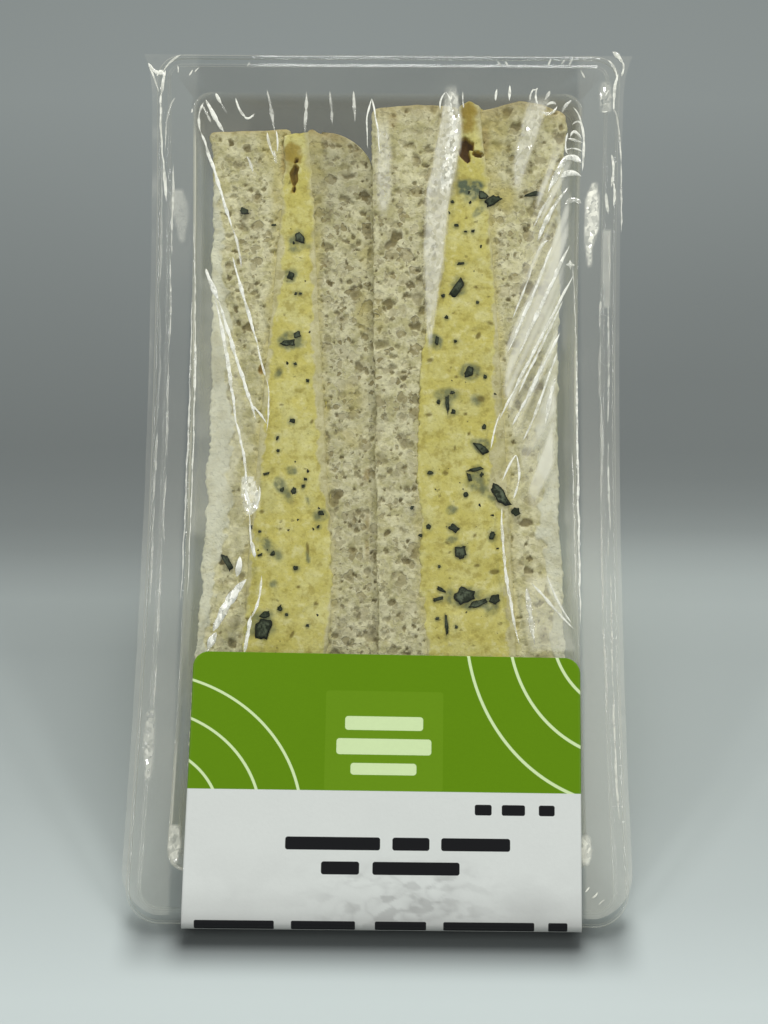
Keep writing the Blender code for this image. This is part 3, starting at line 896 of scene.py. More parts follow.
PRINTED_BOX = box_group()
PRINTED_RINGS = ring_group()


@dataclass(frozen=True)
class Bar:
    """One printed bar or box: its centre from the label's middle and top, and its size, in metres."""

    x: float
    down: float
    wide: float
    tall: float
    corner: float


@dataclass(frozen=True)
class Fan:
    """Thin printed rings round one centre: their place, their stretch, the first one and the step."""

    x: float
    down: float
    tall: float
    first: float
    spacing: float


@dataclass(frozen=True)
class PaperFinish:
    """Coated label paper: a green field with pale rings over white, a plain panel and plain bars."""

    paper: Colour = linear(223, 226, 220)
    green: Colour = linear(100, 142, 0)
    panel: Colour = linear(108, 149, 14)
    ring: Colour = linear(218, 238, 180)
    ink: Colour = linear(22, 22, 24)
    # Grey of real scuffs and of the painted shade towards the fold
    scuff_and_fold_shade: Colour = linear(150, 150, 146)
    green_tall: float = 0.0258
    line: float = 0.00055
    panel_box: Bar = Bar(0.0000, 0.0164, 0.0226, 0.0188, 0.0006)
    panel_bars: tuple[Bar, ...] = (
        Bar(0.0000, 0.0131, 0.0150, 0.0026, 0.0006),
        Bar(0.0000, 0.0175, 0.0182, 0.0030, 0.0006),
        Bar(0.0000, 0.0217, 0.0126, 0.0022, 0.0006),
    )
    ink_bars: tuple[Bar, ...] = (
        Bar(0.0190, 0.0291, 0.0032, 0.0020, 0.0004),
        Bar(0.0247, 0.0291, 0.0044, 0.0020, 0.0004),
        Bar(0.0310, 0.0291, 0.0030, 0.0020, 0.0004),
        Bar(-0.0094, 0.0356, 0.0180, 0.0024, 0.0005),
        Bar(0.0054, 0.0356, 0.0070, 0.0024, 0.0005),
        Bar(0.0176, 0.0356, 0.0130, 0.0024, 0.0005),
        Bar(-0.0079, 0.0401, 0.0072, 0.0024, 0.0005),
        Bar(0.0064, 0.0401, 0.0164, 0.0024, 0.0005),
        Bar(-0.0276, 0.0506, 0.0150, 0.0016, 0.0003),
        Bar(-0.0109, 0.0506, 0.0120, 0.0016, 0.0003),
        Bar(0.0036, 0.0506, 0.0096, 0.0016, 0.0003),
        Bar(0.0201, 0.0506, 0.0170, 0.0016, 0.0003),
        Bar(0.0330, 0.0506, 0.0036, 0.0016, 0.0003),
    )
    fans: tuple[Fan, ...] = (
        Fan(-0.0475, 0.0320, tall=1.15, first=0.0165, spacing=0.0078),
        Fan(0.0470, -0.0060, tall=0.92, first=0.0150, spacing=0.0082),
    )

    @staticmethod
    def stamp(tree: Tree, group: Group, stamps: list[dict[str, object]]) -> Socket:
        """Joins several printed shapes into one mask.

        Args:
            tree: The material's tree.
            group: The shapes' shader group.
            stamps: What each shape's group is fed.

        Returns:
            The mask's socket.
        """
        ink = None
        for feeds in stamps:
            shape = tree.group(group, **feeds)[0]
            ink = shape if ink is None else tree.math("MAXIMUM", ink, shape)
        return ink

    def boxes(self, tree: Tree, place: Socket, bars: tuple[Bar, ...]) -> Socket:
        """The mask of some printed bars.

        Args:
            tree: The material's tree.
            place: The label's own map.
            bars: The bars.

        Returns:
            The mask's socket.
        """
        return self.stamp(tree, PRINTED_BOX, [
            {"Place": place, "Centre": (bar.x, bar.down, 0), "Half size": (bar.wide / 2, bar.tall / 2, 0),
             "Corner": bar.corner} for bar in bars])

    def rings(self, tree: Tree, place: Socket) -> Socket:
        """Two fans of thin rings, one in each corner of the green field.

        Args:
            tree: The material's tree.
            place: The label's own map.

        Returns:
            The mask's socket.
        """
        return self.stamp(tree, PRINTED_RINGS, [
            {"Place": place, "Count": 3.0, "Line": self.line, "Centre": (fan.x, fan.down, 0),
             "Stretch": (1.0, fan.tall, 0), "First": fan.first, "Spacing": fan.spacing} for fan in self.fans])

    def material(self) -> Material:
        """Builds the material.

        Returns:
            The finished material.
        """
        made, tree = new_material("printed_paper")
        place = tree.add("ShaderNodeUVMap", uv_map="print").outputs[0]
        down = tree.add("ShaderNodeSeparateXYZ", {0: place}).outputs[1]
        field = tree.span(down, self.green_tall - 0.00006, self.green_tall + 0.00006, 1.0, 0.0)
        panel = self.boxes(tree, place, (self.panel_box,))
        rings = tree.times(self.rings(tree, place), tree.rest(panel))
        pale = tree.math("MAXIMUM", rings, self.boxes(tree, place, self.panel_bars))
        green = tree.mix(pale, tree.mix(panel, self.green, self.panel), self.ring)
        # The paper greys where scuffed and, as painted shade, towards the fold at its lower edge
        white = tree.mix(tree.times(tree.mark("scuff_and_fold_shade"), 0.75), self.paper, self.scuff_and_fold_shade)
        white = tree.mix(self.boxes(tree, place, self.ink_bars), white, self.ink)
        colour = tree.mix(field, white, green)
        mottle = tree.group(MOTTLE, Broad=0.012, Fine=0.0007, Amount=0.05)
        relief = tree.bump(mottle["Grain"], 0.25, 0.00008)
        tree.dress(tree.shaded(colour, mottle["Shade"]), 0.45, 0.22, relief)
        return made


@dataclass
class Tray:
    """Thermoformed clear tray, from the flange's turned-down lip down to the spine."""

    pack: Pack
    long_steps: int = 56
    short_steps: int = 22
    corner_steps: int = 10
    bend_steps: int = 4
    slope_steps: int = 14
    spine_steps: int = 12

    def ring(self, half: float, low: float, high: float, depth: float, radii: tuple[float, float]) -> Array:
        """A rounded rectangle at one depth, anticlockwise.

        Args:
            half: Half its width.
            low, high: Its lower and upper end.
            depth: How deep it lies.
            radii: Its corners' radius at the lower and the upper end.

        Returns:
            Its points.
        """
        lower, upper = (min(radius, half, (high - low) / 2) for radius in radii)
        centres = ((half - upper, high - upper, upper), (upper - half, high - upper, upper),
                   (lower - half, low + lower, lower), (half - lower, low + lower, lower))
        quarter = np.linspace(0, math.pi / 2, self.corner_steps + 1)
        corners = []
        for number, (x, v, radius) in enumerate(centres):
            turn = quarter + number * math.pi / 2
            corners.append(np.stack([x + radius * np.cos(turn), v + radius * np.sin(turn)], axis=1))
        parts = []
        for number, corner in enumerate(corners):
            steps = self.short_steps if number % 2 else self.long_steps
            share = np.arange(1, steps)[:, None] / steps
            before = corners[number - 1][-1]
            parts += [before + (corner[0] - before) * share, corner]
        flat = np.concatenate(parts)
        x = self.pack.waisted(flat[:, 0], flat[:, 1], depth)
        return np.stack([x, flat[:, 1], np.full(len(flat), -depth)], axis=1)

    def flange(self, inset: float, depth: float) -> Array:
        """A ring of the flange, drawn in from its outer edge."""
        pack = self.pack
        radii = tuple(radius - inset for radius in pack.flange_radii)
        return self.ring(pack.flange_half - inset, inset, pack.flange_tall - inset, depth, radii)

    def mouth(self, inset: float, depth: float) -> Array:
        """A ring of the mouth and its collar, drawn in from the mouth's edge."""
        pack = self.pack
        low, high = pack.mouth_low + inset, pack.mouth_high - inset
        return self.ring(pack.mouth_half - inset, low, high, depth, (pack.mouth_radius,) * 2)

    def wedge(self, v_half: float, depth: float) -> Array:
        """A ring of the wedge below the collar, v_half above and below its middle line."""
        pack = self.pack
        share = (depth - pack.collar_deep) / (pack.spine_centre + pack.spine_radius - pack.collar_deep)
        half = (pack.mouth_half - pack.collar_draft) * (1 - share) + pack.spine_half * share
        middle = (pack.mouth_high + pack.mouth_low) / 2
        return self.ring(half, middle - v_half, middle + v_half, depth, (pack.mouth_radius,) * 2)

    def rings(self) -> list[Array]:
        """All rings, from the lip's lower edge over the flange and down to the spine."""
        pack = self.pack
        bend = pack.edge_round
        shares = [k / self.bend_steps for k in range(self.bend_steps + 1)]
        halfway = 0.5 * (pack.lip_drop + pack.rim_drop + bend)
        rings = [self.flange(0.0, depth) for depth in (pack.lip_drop, halfway)]
        for share in shares:
            turn = share * math.pi / 2
            drop = pack.rim_drop + bend * (1 - math.sin(turn))
            rings.append(self.flange(bend * (1 - math.cos(turn)), drop))
        rings.append(self.flange(pack.rim_width - 0.3 * bend, pack.rim_drop))
        for share in shares:
            drop = pack.rim_drop * (1 - share * share * (3 - 2 * share))
            rings.append(self.flange(pack.rim_width + bend * share, drop))
        rings.append(self.flange(pack.rim_width + 1.5 * bend, 0.0))
        rings.append(self.mouth(-1.5 * bend, 0.0))
        for share in shares:
            turn = share * math.pi / 2
            rings.append(self.mouth(-bend * (1 - math.sin(turn)), bend * (1 - math.cos(turn))))
        for share in (0.5, 0.93, 1.0):
            depth = bend + (pack.collar_deep - bend) * share
            rings.append(self.mouth(pack.collar_draft * share, depth))
        arc_start = pack.spine_centre + pack.spine_radius / math.sqrt(2)
        for k in range(self.slope_steps + 1):
            depth = pack.collar_deep + (arc_start - pack.collar_deep) * max(k / self.slope_steps, 0.006)
            rings.append(self.wedge(pack.slope_half - (depth - pack.collar_deep), depth))
        for k in range(1, self.spine_steps + 1):
            turn = math.pi / 4 * (1 + k / self.spine_steps)
            depth = pack.spine_centre + pack.spine_radius * math.sin(turn)
            rings.append(self.wedge(pack.spine_radius * math.cos(turn), depth))
        return rings

    def painted_highlights(self, rings: int) -> Array:
        """Painted highlight on each ring's bend, as white haze: most at the mouth, less at the rim and at the
        collar's foot.
        """
        painted_highlight = np.zeros(rings)
        rim = 2 + self.bend_steps // 2
        mouth = 2 * (self.bend_steps + 1) + 5 + self.bend_steps // 2
        painted_highlight[[rim, mouth, mouth + 1, mouth + 5]] = 0.30, 0.80, 0.80, 0.30
        return painted_highlight

    def build(self, finish: Material) -> Piece:
        """Builds the tray.

        Args:
            finish: Its clear plastic.

        Returns:
            The tray, which stands for the CAD tray.
        """
        rings = self.rings()
        count = len(rings[0])
        faces = []
        for k in range(len(rings) - 1):
            near = np.arange(count) + k * count
            far = near + count
            band = np.stack([near, np.roll(near, -1), np.roll(far, -1), far], axis=1)
            faces += band.tolist()
        points = np.concatenate(rings)
        x, v, depth = points[:, 0], points[:, 1], -points[:, 2]
        number = np.repeat(np.arange(len(rings)), count)
        past_rim = number > 2 * self.bend_steps + 3
        # Painted shade: the shade mark darkens what shows through the upper walls inside the pack and the
        # flange just above the mouth
        inner = past_rim * smooth((depth - 0.0003) / 0.0012) * smooth((v - 0.100) / 0.045)
        mouth_painted_shade = past_rim * smooth((v - 0.158) / 0.008) * (np.abs(x) < 0.040)
        inner = np.maximum(inner, 0.35 * mouth_painted_shade)
        # Painted highlights: white haze along the bends, stronger on the right side than the left, broken
        # into streaks along v, and a faint painted sheen of white haze on the side walls
        bend = np.repeat(self.painted_highlights(len(rings)), count)
        noise = SoftNoise(71)
        side = np.where(np.abs(x) > 0.036, np.where(x > 0, 1.0, 0.75), np.where(v > 0.1, 0.10, 0.35))
        streak = 0.30 + 0.70 * smooth((noise(v / 0.017, np.sign(x) * 5) + 0.25) / 0.5)
        wall = past_rim * smooth((depth - 0.0012) / 0.0015) * (np.abs(x) > 0.030)
        wall_painted_sheen = wall * np.clip(0.10 + 0.12 * noise(v / 0.012, np.sign(x) * 9), 0, 1)
        inner = inner * (1 - wall * smooth((0.162 - v) / 0.010))
        marks = {"shade": inner, "painted_highlight": bend * side * streak + wall_painted_sheen, "dull": wall}
        mesh = Shape(points, faces, marks).mesh("tray_skin")
        weld(mesh, reach=0.00002, outwards=False)
        made = STAND.piece("clear_tray", mesh, finish, thickened(self.pack.wall))
        settle(made, Slot.TRAY, "tray")
        return made


@dataclass(frozen=True)
class Crease:
    """One crease of the film, in millimetres: a curve through three points (x, v), and its width.

    White is how white it shows, from 0 to 1, partly whitening of the creased film and partly painted
    highlight, and soft how far that fades towards its rims.
    """

    start: tuple[float, float]
    middle: tuple[float, float]
    end: tuple[float, float]
    width: float = 0.5
    white: float = 0.8
    soft: float = 0.0

    def line(self, count: int) -> Array:
        """Points along the crease.

        Args:
            count: How many points.

        Returns:
            The points as (x, v), in metres.
        """
        t = np.linspace(0, 1, count)[:, None]
        start, middle, end = (np.array(point) / 1000 for point in (self.start, self.middle, self.end))
        bend = 2 * middle - 0.5 * (start + end)
        return (1 - t) ** 2 * start + 2 * t * (1 - t) * bend + t ** 2 * end

    @property
    def length(self) -> float:
        """Its rough length in metres."""
        return math.dist(self.start, self.middle) / 1000 + math.dist(self.middle, self.end) / 1000


def creases(*rows: tuple[float, ...]) -> tuple[Crease, ...]:
    """Creases from rows of x and v at the start, middle and end, then width, white and, for some, soft."""
    return tuple(Crease(row[:2], row[2:4], row[4:6], *row[6:]) for row in rows)


LEFT_CREASES = creases(
    (-37.5, 163.4, -38.4, 160.2, -37.9, 156.9, 0.55, 0.75),
    (-37.9, 156.9, -35.0, 148.8, -30.8, 136.1, 0.85, 0.95),
    (-30.9, 136.6, -29.7, 132.8, -28.9, 128.2, 0.6, 0.6, 0.5),
    (-30.8, 130.6, -28.1, 121.5, -25.1, 112.3, 0.75, 0.95),
    (-25.2, 112.7, -24.4, 109.2, -23.5, 105.9, 0.6, 0.8),
    (-23.3, 105.5, -22.6, 100.7, -22.9, 94.6, 0.4, 0.7),
    (-36.0, 128.1, -34.9, 125.0, -33.1, 121.1, 1.15, 0.95),
    (-33.3, 121.6, -29.4, 109.8, -25.1, 97.0, 0.85, 0.95),
    (-34.0, 122.0, -31.2, 109.6, -29.0, 96.2, 0.8, 0.9), (-29.1, 96.8, -27.3, 89.9, -26.7, 83.0, 0.6, 0.8),
    (-26.0, 100.0, -24.3, 98.2, -22.9, 96.2, 0.55, 0.8), (-27.0, 84.6, -26.4, 81.6, -25.6, 78.6, 0.6, 0.95),
    (-24.2, 84.0, -24.0, 81.4, -25.2, 78.8, 0.5, 0.85), (-26.0, 78.8, -25.5, 74.6, -25.0, 69.9, 0.35, 0.7),
    (-25.5, 73.0, -24.9, 71.4, -24.6, 69.6, 0.8, 0.9), (-27.5, 69.9, -27.6, 67.9, -28.0, 65.8, 1.1, 0.9),
    (-26.0, 65.4, -29.2, 61.3, -32.3, 55.1, 1.8, 0.95, 0.2),
    (-31.6, 55.0, -32.4, 53.5, -33.3, 51.2, 1.7, 0.95, 0.2),
    (-23.3, 66.2, -23.6, 61.3, -25.0, 57.8, 0.6, 0.85), (-25.0, 58.4, -25.5, 55.1, -26.2, 51.0, 0.95, 0.85),
    (-28.5, 151.8, -27.7, 150.3, -27.1, 148.2, 0.6, 0.5, 0.6),
)
MOUTH_CREASES = creases(
    (-37.1, 164.0, -35.4, 160.6, -33.2, 157.0, 0.85, 0.95),
    (-37.9, 162.8, -36.8, 160.8, -35.9, 158.9, 0.6, 0.4, 0.5),
    (-35.2, 165.4, -34.6, 164.2, -33.9, 163.0, 0.7, 0.95),
    (-34.0, 163.2, -33.4, 162.1, -32.7, 161.0, 0.6, 0.35, 0.5),
    (-31.1, 164.4, -30.1, 161.7, -28.9, 160.2, 0.75, 0.95),
    (-29.2, 160.3, -28.2, 159.9, -27.1, 161.0, 0.65, 0.9),
    (-24.6, 166.2, -23.7, 161.3, -22.8, 157.0, 0.8, 0.42, 0.6),
    (-24.4, 157.0, -23.8, 154.0, -22.7, 151.4, 0.6, 0.75),
    (-22.6, 157.4, -22.2, 154.9, -22.3, 152.7, 0.45, 0.7),
    (-23.0, 153.2, -22.7, 151.8, -22.4, 150.2, 0.9, 0.4, 0.8),
    (-16.7, 166.0, -16.6, 161.8, -16.7, 156.6, 0.85, 0.6, 0.7),
    (-11.8, 166.0, -11.5, 163.1, -11.2, 158.6, 0.7, 0.4, 0.8),
    (-6.9, 166.0, -6.8, 163.1, -6.6, 159.2, 0.85, 0.5, 0.8),
    (-3.2, 164.4, -4.1, 159.3, -3.8, 153.6, 0.45, 0.9), (-3.2, 164.4, -2.1, 158.6, -1.4, 152.4, 0.45, 0.8),
    (10.8, 161.9, 10.9, 164.1, 11.9, 165.9, 0.5, 0.95), (11.9, 165.9, 12.8, 164.1, 13.0, 161.5, 0.45, 0.9),
    (15.4, 166.0, 15.4, 164.1, 15.6, 162.4, 0.45, 0.9), (22.1, 164.0, 22.2, 165.4, 22.4, 166.6, 0.6, 0.9),
    (24.9, 164.0, 25.0, 165.9, 25.0, 167.4, 0.65, 0.95), (29.1, 164.0, 29.3, 165.5, 29.9, 166.6, 0.6, 0.9),
    (30.6, 166.9, 30.3, 165.0, 30.7, 163.3, 0.6, 0.9), (29.6, 166.6, 30.1, 166.4, 30.8, 166.8, 0.45, 0.8),
    (32.1, 164.2, 32.8, 165.3, 33.2, 166.2, 0.7, 0.6, 0.3),
    (31.1, 161.9, 33.2, 161.2, 34.7, 163.0, 0.8, 0.6, 0.3),
    (34.5, 163.2, 33.6, 163.6, 32.4, 163.0, 0.55, 0.6),
    (35.6, 161.4, 36.4, 163.0, 37.7, 164.2, 0.6, 0.6, 0.3),
)
LADDER_CREASES = creases(
    (37.9, 162.7, 39.9, 157.8, 39.6, 149.0, 0.55, 0.8), (36.8, 157.2, 36.3, 154.5, 36.7, 152.6, 0.45, 0.8),
    (37.7, 158.9, 38.9, 159.6, 39.8, 158.7, 0.7, 0.85), (37.3, 156.3, 38.2, 157.4, 39.6, 155.9, 0.75, 0.9),
    (36.7, 155.9, 38.2, 155.6, 39.8, 155.1, 0.5, 0.8), (36.3, 153.4, 38.0, 153.8, 39.7, 153.2, 0.45, 0.8),
    (35.4, 151.2, 37.6, 151.9, 39.5, 150.8, 1.25, 0.9), (35.2, 147.5, 37.2, 148.6, 39.5, 147.9, 1.35, 0.95),
    (36.1, 141.9, 37.8, 142.9, 39.4, 142.2, 1.5, 0.5, 0.4),
)
RIGHT_CREASES = creases(
    (36.6, 152.4, 34.5, 148.3, 32.7, 144.5, 1.3, 0.6, 0.4),
    (36.9, 145.6, 33.3, 140.3, 30.5, 134.0, 1.1, 0.65, 0.3),
    (33.7, 144.4, 31.7, 141.1, 29.7, 136.9, 0.6, 0.6, 0.3),
    (32.9, 134.4, 31.3, 133.1, 29.9, 129.8, 0.55, 0.85), (29.9, 130.0, 27.8, 123.9, 25.6, 118.2, 0.45, 0.8),
    (33.5, 133.2, 30.0, 124.0, 24.7, 111.2, 0.7, 0.9),
    (37.1, 133.4, 31.6, 121.5, 26.8, 110.6, 0.95, 0.8, 0.2),
    (37.7, 127.0, 32.6, 116.9, 22.9, 97.3, 0.7, 0.9), (35.6, 121.8, 31.4, 112.6, 26.6, 102.6, 0.65, 0.75),
    (35.0, 115.3, 30.4, 105.9, 25.6, 96.3, 0.85, 0.85, 0.2),
    (34.4, 111.2, 31.0, 101.4, 27.8, 93.3, 0.75, 0.8), (34.2, 105.9, 33.0, 101.8, 32.0, 96.6, 1.0, 0.7, 0.3),
    (23.2, 98.9, 22.1, 95.3, 21.3, 91.5, 0.45, 0.85), (29.2, 65.2, 33.2, 60.6, 37.6, 56.0, 0.6, 0.75, 0.2),
    (32.2, 66.6, 34.0, 62.2, 37.0, 57.3, 0.5, 0.7, 0.2),
    (28.4, 64.3, 28.9, 59.4, 29.9, 53.0, 1.2, 0.45, 0.7), (23.5, 79.7, 24.3, 67.1, 26.9, 53.0, 0.7, 0.75),
    (23.5, 85.1, 25.3, 88.9, 26.4, 90.3, 0.4, 0.9), (26.4, 90.3, 26.8, 86.3, 25.7, 81.5, 0.5, 0.9),
    (37.1, 130.2, 37.1, 129.2, 37.2, 128.2, 0.6, 0.8), (36.3, 129.3, 37.1, 129.2, 38.0, 129.2, 0.5, 0.8),
)
CORNER_CREASES = creases(
    (-49.3, 171.9, -47.7, 170.0, -46.0, 169.5, 0.9, 0.95),
    (-49.2, 171.4, -47.9, 168.4, -46.9, 165.6, 0.45, 0.7),
    (-46.3, 169.6, -44.8, 172.0, -42.6, 173.7, 0.55, 0.6),
    (-45.6, 170.4, -46.1, 167.6, -46.3, 164.6, 0.8, 0.85),
    (-47.4, 169.0, -46.6, 170.0, -45.8, 168.8, 1.0, 0.9),
    (-46.4, 166.8, -46.3, 159.5, -45.4, 150.9, 0.5, 0.75),
    (-45.4, 151.6, -45.0, 147.0, -44.5, 142.0, 0.75, 0.75),
    (-43.4, 164.4, -44.8, 160.6, -45.1, 152.6, 0.45, 0.35, 0.4),
    (46.0, 174.8, 47.2, 173.8, 48.1, 172.3, 1.05, 0.95), (48.0, 172.7, 48.3, 171.4, 47.8, 169.4, 0.5, 0.8),
    (45.0, 173.0, 46.3, 171.4, 47.1, 168.4, 0.5, 0.7), (47.1, 169.9, 46.4, 166.0, 46.2, 161.6, 0.65, 0.8),
    (46.3, 162.4, 47.1, 157.8, 47.5, 150.8, 0.4, 0.6), (47.5, 151.2, 47.6, 143.5, 47.4, 136.0, 0.4, 0.5),
    (45.6, 152.6, 46.0, 149.4, 45.5, 145.6, 0.7, 0.75), (45.8, 147.2, 46.2, 144.6, 45.9, 141.6, 0.6, 0.75),
    (44.4, 144.6, 44.6, 142.0, 44.9, 139.8, 0.7, 0.6, 0.3),
)
# Painted highlights: white lines along the long sides of the mouth that stand for the tray rim's bright
# edges, drawn as creases of the film
RIM_PAINTED_HIGHLIGHTS = creases(
    (38.3, 112.0, 38.4, 85.0, 38.7, 57.0, 0.5, 0.85), (37.5, 130.0, 38.0, 120.0, 38.3, 111.0, 0.3, 0.35),
    (37.3, 91.0, 37.6, 78.0, 37.7, 62.0, 0.35, 0.35), (-38.6, 122.0, -38.4, 95.0, -38.7, 61.0, 0.35, 0.5),
    (-38.8, 138.0, -37.5, 105.0, -37.5, 62.0, 0.35, 0.6),
    (-37.6, 113.0, -37.4, 108.0, -37.3, 103.0, 0.45, 0.95),
)
# Short marks of the seal: x, v and length in millimetres, and turn in degrees
SEAL_MARKS = (
    (-43.1, 170.5, 1.6, 95), (-40.4, 169.8, 1.5, 62), (-39.2, 170.4, 1.4, 52), (-28.7, 171.7, 1.0, 60),
    (22.9, 172.0, 1.5, 130), (24.4, 172.0, 1.4, 125), (33.2, 172.4, 1.7, 62), (35.9, 172.5, 1.5, 55),
    (37.5, 172.5, 1.9, 65), (39.9, 169.9, 2.0, 115), (39.6, 7.2, 1.3, 50), (41.0, 6.2, 1.5, 45),
    (42.3, 4.9, 1.5, 40), (38.0, 8.6, 1.2, 55), (-40.0, 161.6, 0.9, 80), (43.6, 165.0, 1.6, 80),
    (44.6, 163.4, 1.6, 10), (44.9, 165.8, 1.6, 60), (44.3, 161.8, 1.2, 5),
)

# Glimmers along the flange: the side, how far out, lower and upper end in millimetres, and how white
GLIMMERS = ((-1, 44.6, 40, 150, 0.34), (-1, 46.6, 60, 168, 0.20), (1, 46.4, 20, 136, 0.40),
            (1, 44.9, 40, 120, 0.28))


@dataclass(frozen=True)
class Veil:
    """A white patch of the film between two edges, in millimetres: rows of height v, low x and high x;
    its white is partly haze of crinkled film and partly painted highlight and reflection.
    """

    rows: tuple[tuple[float, float, float], ...]
    haze: float
    crinkle: float = 0.0
    rim: float = 0.5
    fade: float = 0.0

    def cover(self, x: Array, v: Array, rough: Array) -> Array:
        """How much of the veil lies at places in metres, from 0 to 1, with rough noise at its edges."""
        heights, low, high = (np.array(part) for part in zip(*sorted(self.rows)))
        x, v = x * 1000 + 0.5 * rough * min(1.0, self.rim), v * 1000
        inside = np.minimum(x - np.interp(v, heights, low), np.interp(v, heights, high) - x)
        ends = np.minimum(v - heights[0], heights[-1] - v)
        return smooth(inside / self.rim + 0.5) * smooth(ends / max(self.rim, self.fade) + 0.5)


# White patches on the film: partly real haze of crinkled film, partly painted highlight and painted
# reflection, such as the mottled strip over the right half and the streaked fan
VEILS = (
    Veil(((165.2, 11.6, 14.0), (159.8, 11.0, 15.2), (155.5, 10.3, 15.1), (149.0, 9.2, 14.1),
          (142.7, 7.9, 12.7), (130.1, 7.8, 11.6), (122.0, 8.1, 10.4), (112.0, 8.7, 9.3)),
         0.52, 0.45, 0.60, 6.0),
    Veil(((166.0, 12.2, 14.2), (158.0, 12.6, 15.0), (152.0, 11.6, 14.2), (144.0, 10.6, 12.8)),
         0.72, 1.0, 0.6, 4.0),
    Veil(((164.0, 28.9, 33.0), (155.5, 26.6, 30.4), (150.2, 26.0, 28.5), (145.6, 25.8, 27.1)),
         0.40, 0.6, 0.8, 3.0),
    Veil(((158.0, -1.8, 0.4), (152.0, -1.9, 0.9), (144.0, -1.6, 0.9), (140.0, -1.2, 0.1)),
         0.34, 0.6, 0.8, 4.0),
    Veil(((85.6, -27.4, -25.4), (82.5, -27.6, -24.0), (79.5, -27.0, -23.9), (78.2, -26.4, -25.2)),
         0.62, 0.9, 0.25),
    Veil(((126.0, -36.4, -34.4), (112.0, -36.6, -30.0), (100.0, -36.8, -27.4), (88.0, -37.0, -28.0),
          (74.0, -37.4, -33.0)), 0.16, 0.0, 2.0),
    Veil(((66.0, 28.0, 33.0), (60.0, 28.0, 35.5), (52.0, 29.0, 37.8)), 0.26, 0.1, 0.8),
    Veil(((146.5, 41.7, 42.5), (143.0, 40.4, 43.1), (137.0, 40.0, 42.9), (133.0, 40.2, 41.5),
          (129.0, 40.7, 41.2)), 0.70, 0.8, 0.6),
    Veil(((136.6, 43.7, 45.3), (120.5, 43.6, 45.2)), 0.30, 0.0, 0.12),
    Veil(((168.2, 43.6, 45.4), (165.0, 43.3, 45.8), (161.7, 43.6, 45.6)), 0.24, 0.8, 0.4),
    Veil(((144.6, -43.2, -41.2), (141.5, -43.6, -40.2), (138.6, -42.6, -40.0), (133.6, -41.4, -40.6)),
         0.26, 0.2, 0.6),
    Veil(((140.0, 35.6, 38.0), (100.0, 35.8, 38.4), (56.0, 36.2, 38.7)), 0.09, 0.1, 0.8, 5.0),
    Veil(((84.0, 35.8, 38.4), (56.0, 36.2, 38.7)), 0.17, 0.1, 0.8, 18.0),
    Veil(((40.0, -44.6, -43.0), (33.0, -45.0, -42.8), (27.0, -44.4, -43.2)), 0.22, 0.8, 0.5),
    Veil(((18.4, -39.2, -37.6), (14.6, -39.6, -37.2), (11.4, -38.8, -37.8)), 0.55, 0.6, 0.4),
    Veil(((17.0, 38.6, 40.0), (14.2, 38.2, 40.6), (11.8, 38.8, 40.0)), 0.50, 0.6, 0.4),
)
FAN_PAINTED_HIGHLIGHT = Veil(((152.0, 33.5, 37.5), (144.0, 31.0, 37.0), (134.0, 28.5, 36.6), (124.0, 26.6, 35.6),
                 (112.0, 24.5, 34.4), (103.0, 24.0, 34.0), (94.0, 26.0, 33.6), (82.0, 29.0, 34.0)),
                0.54, 0.0, 1.0, 14.0)


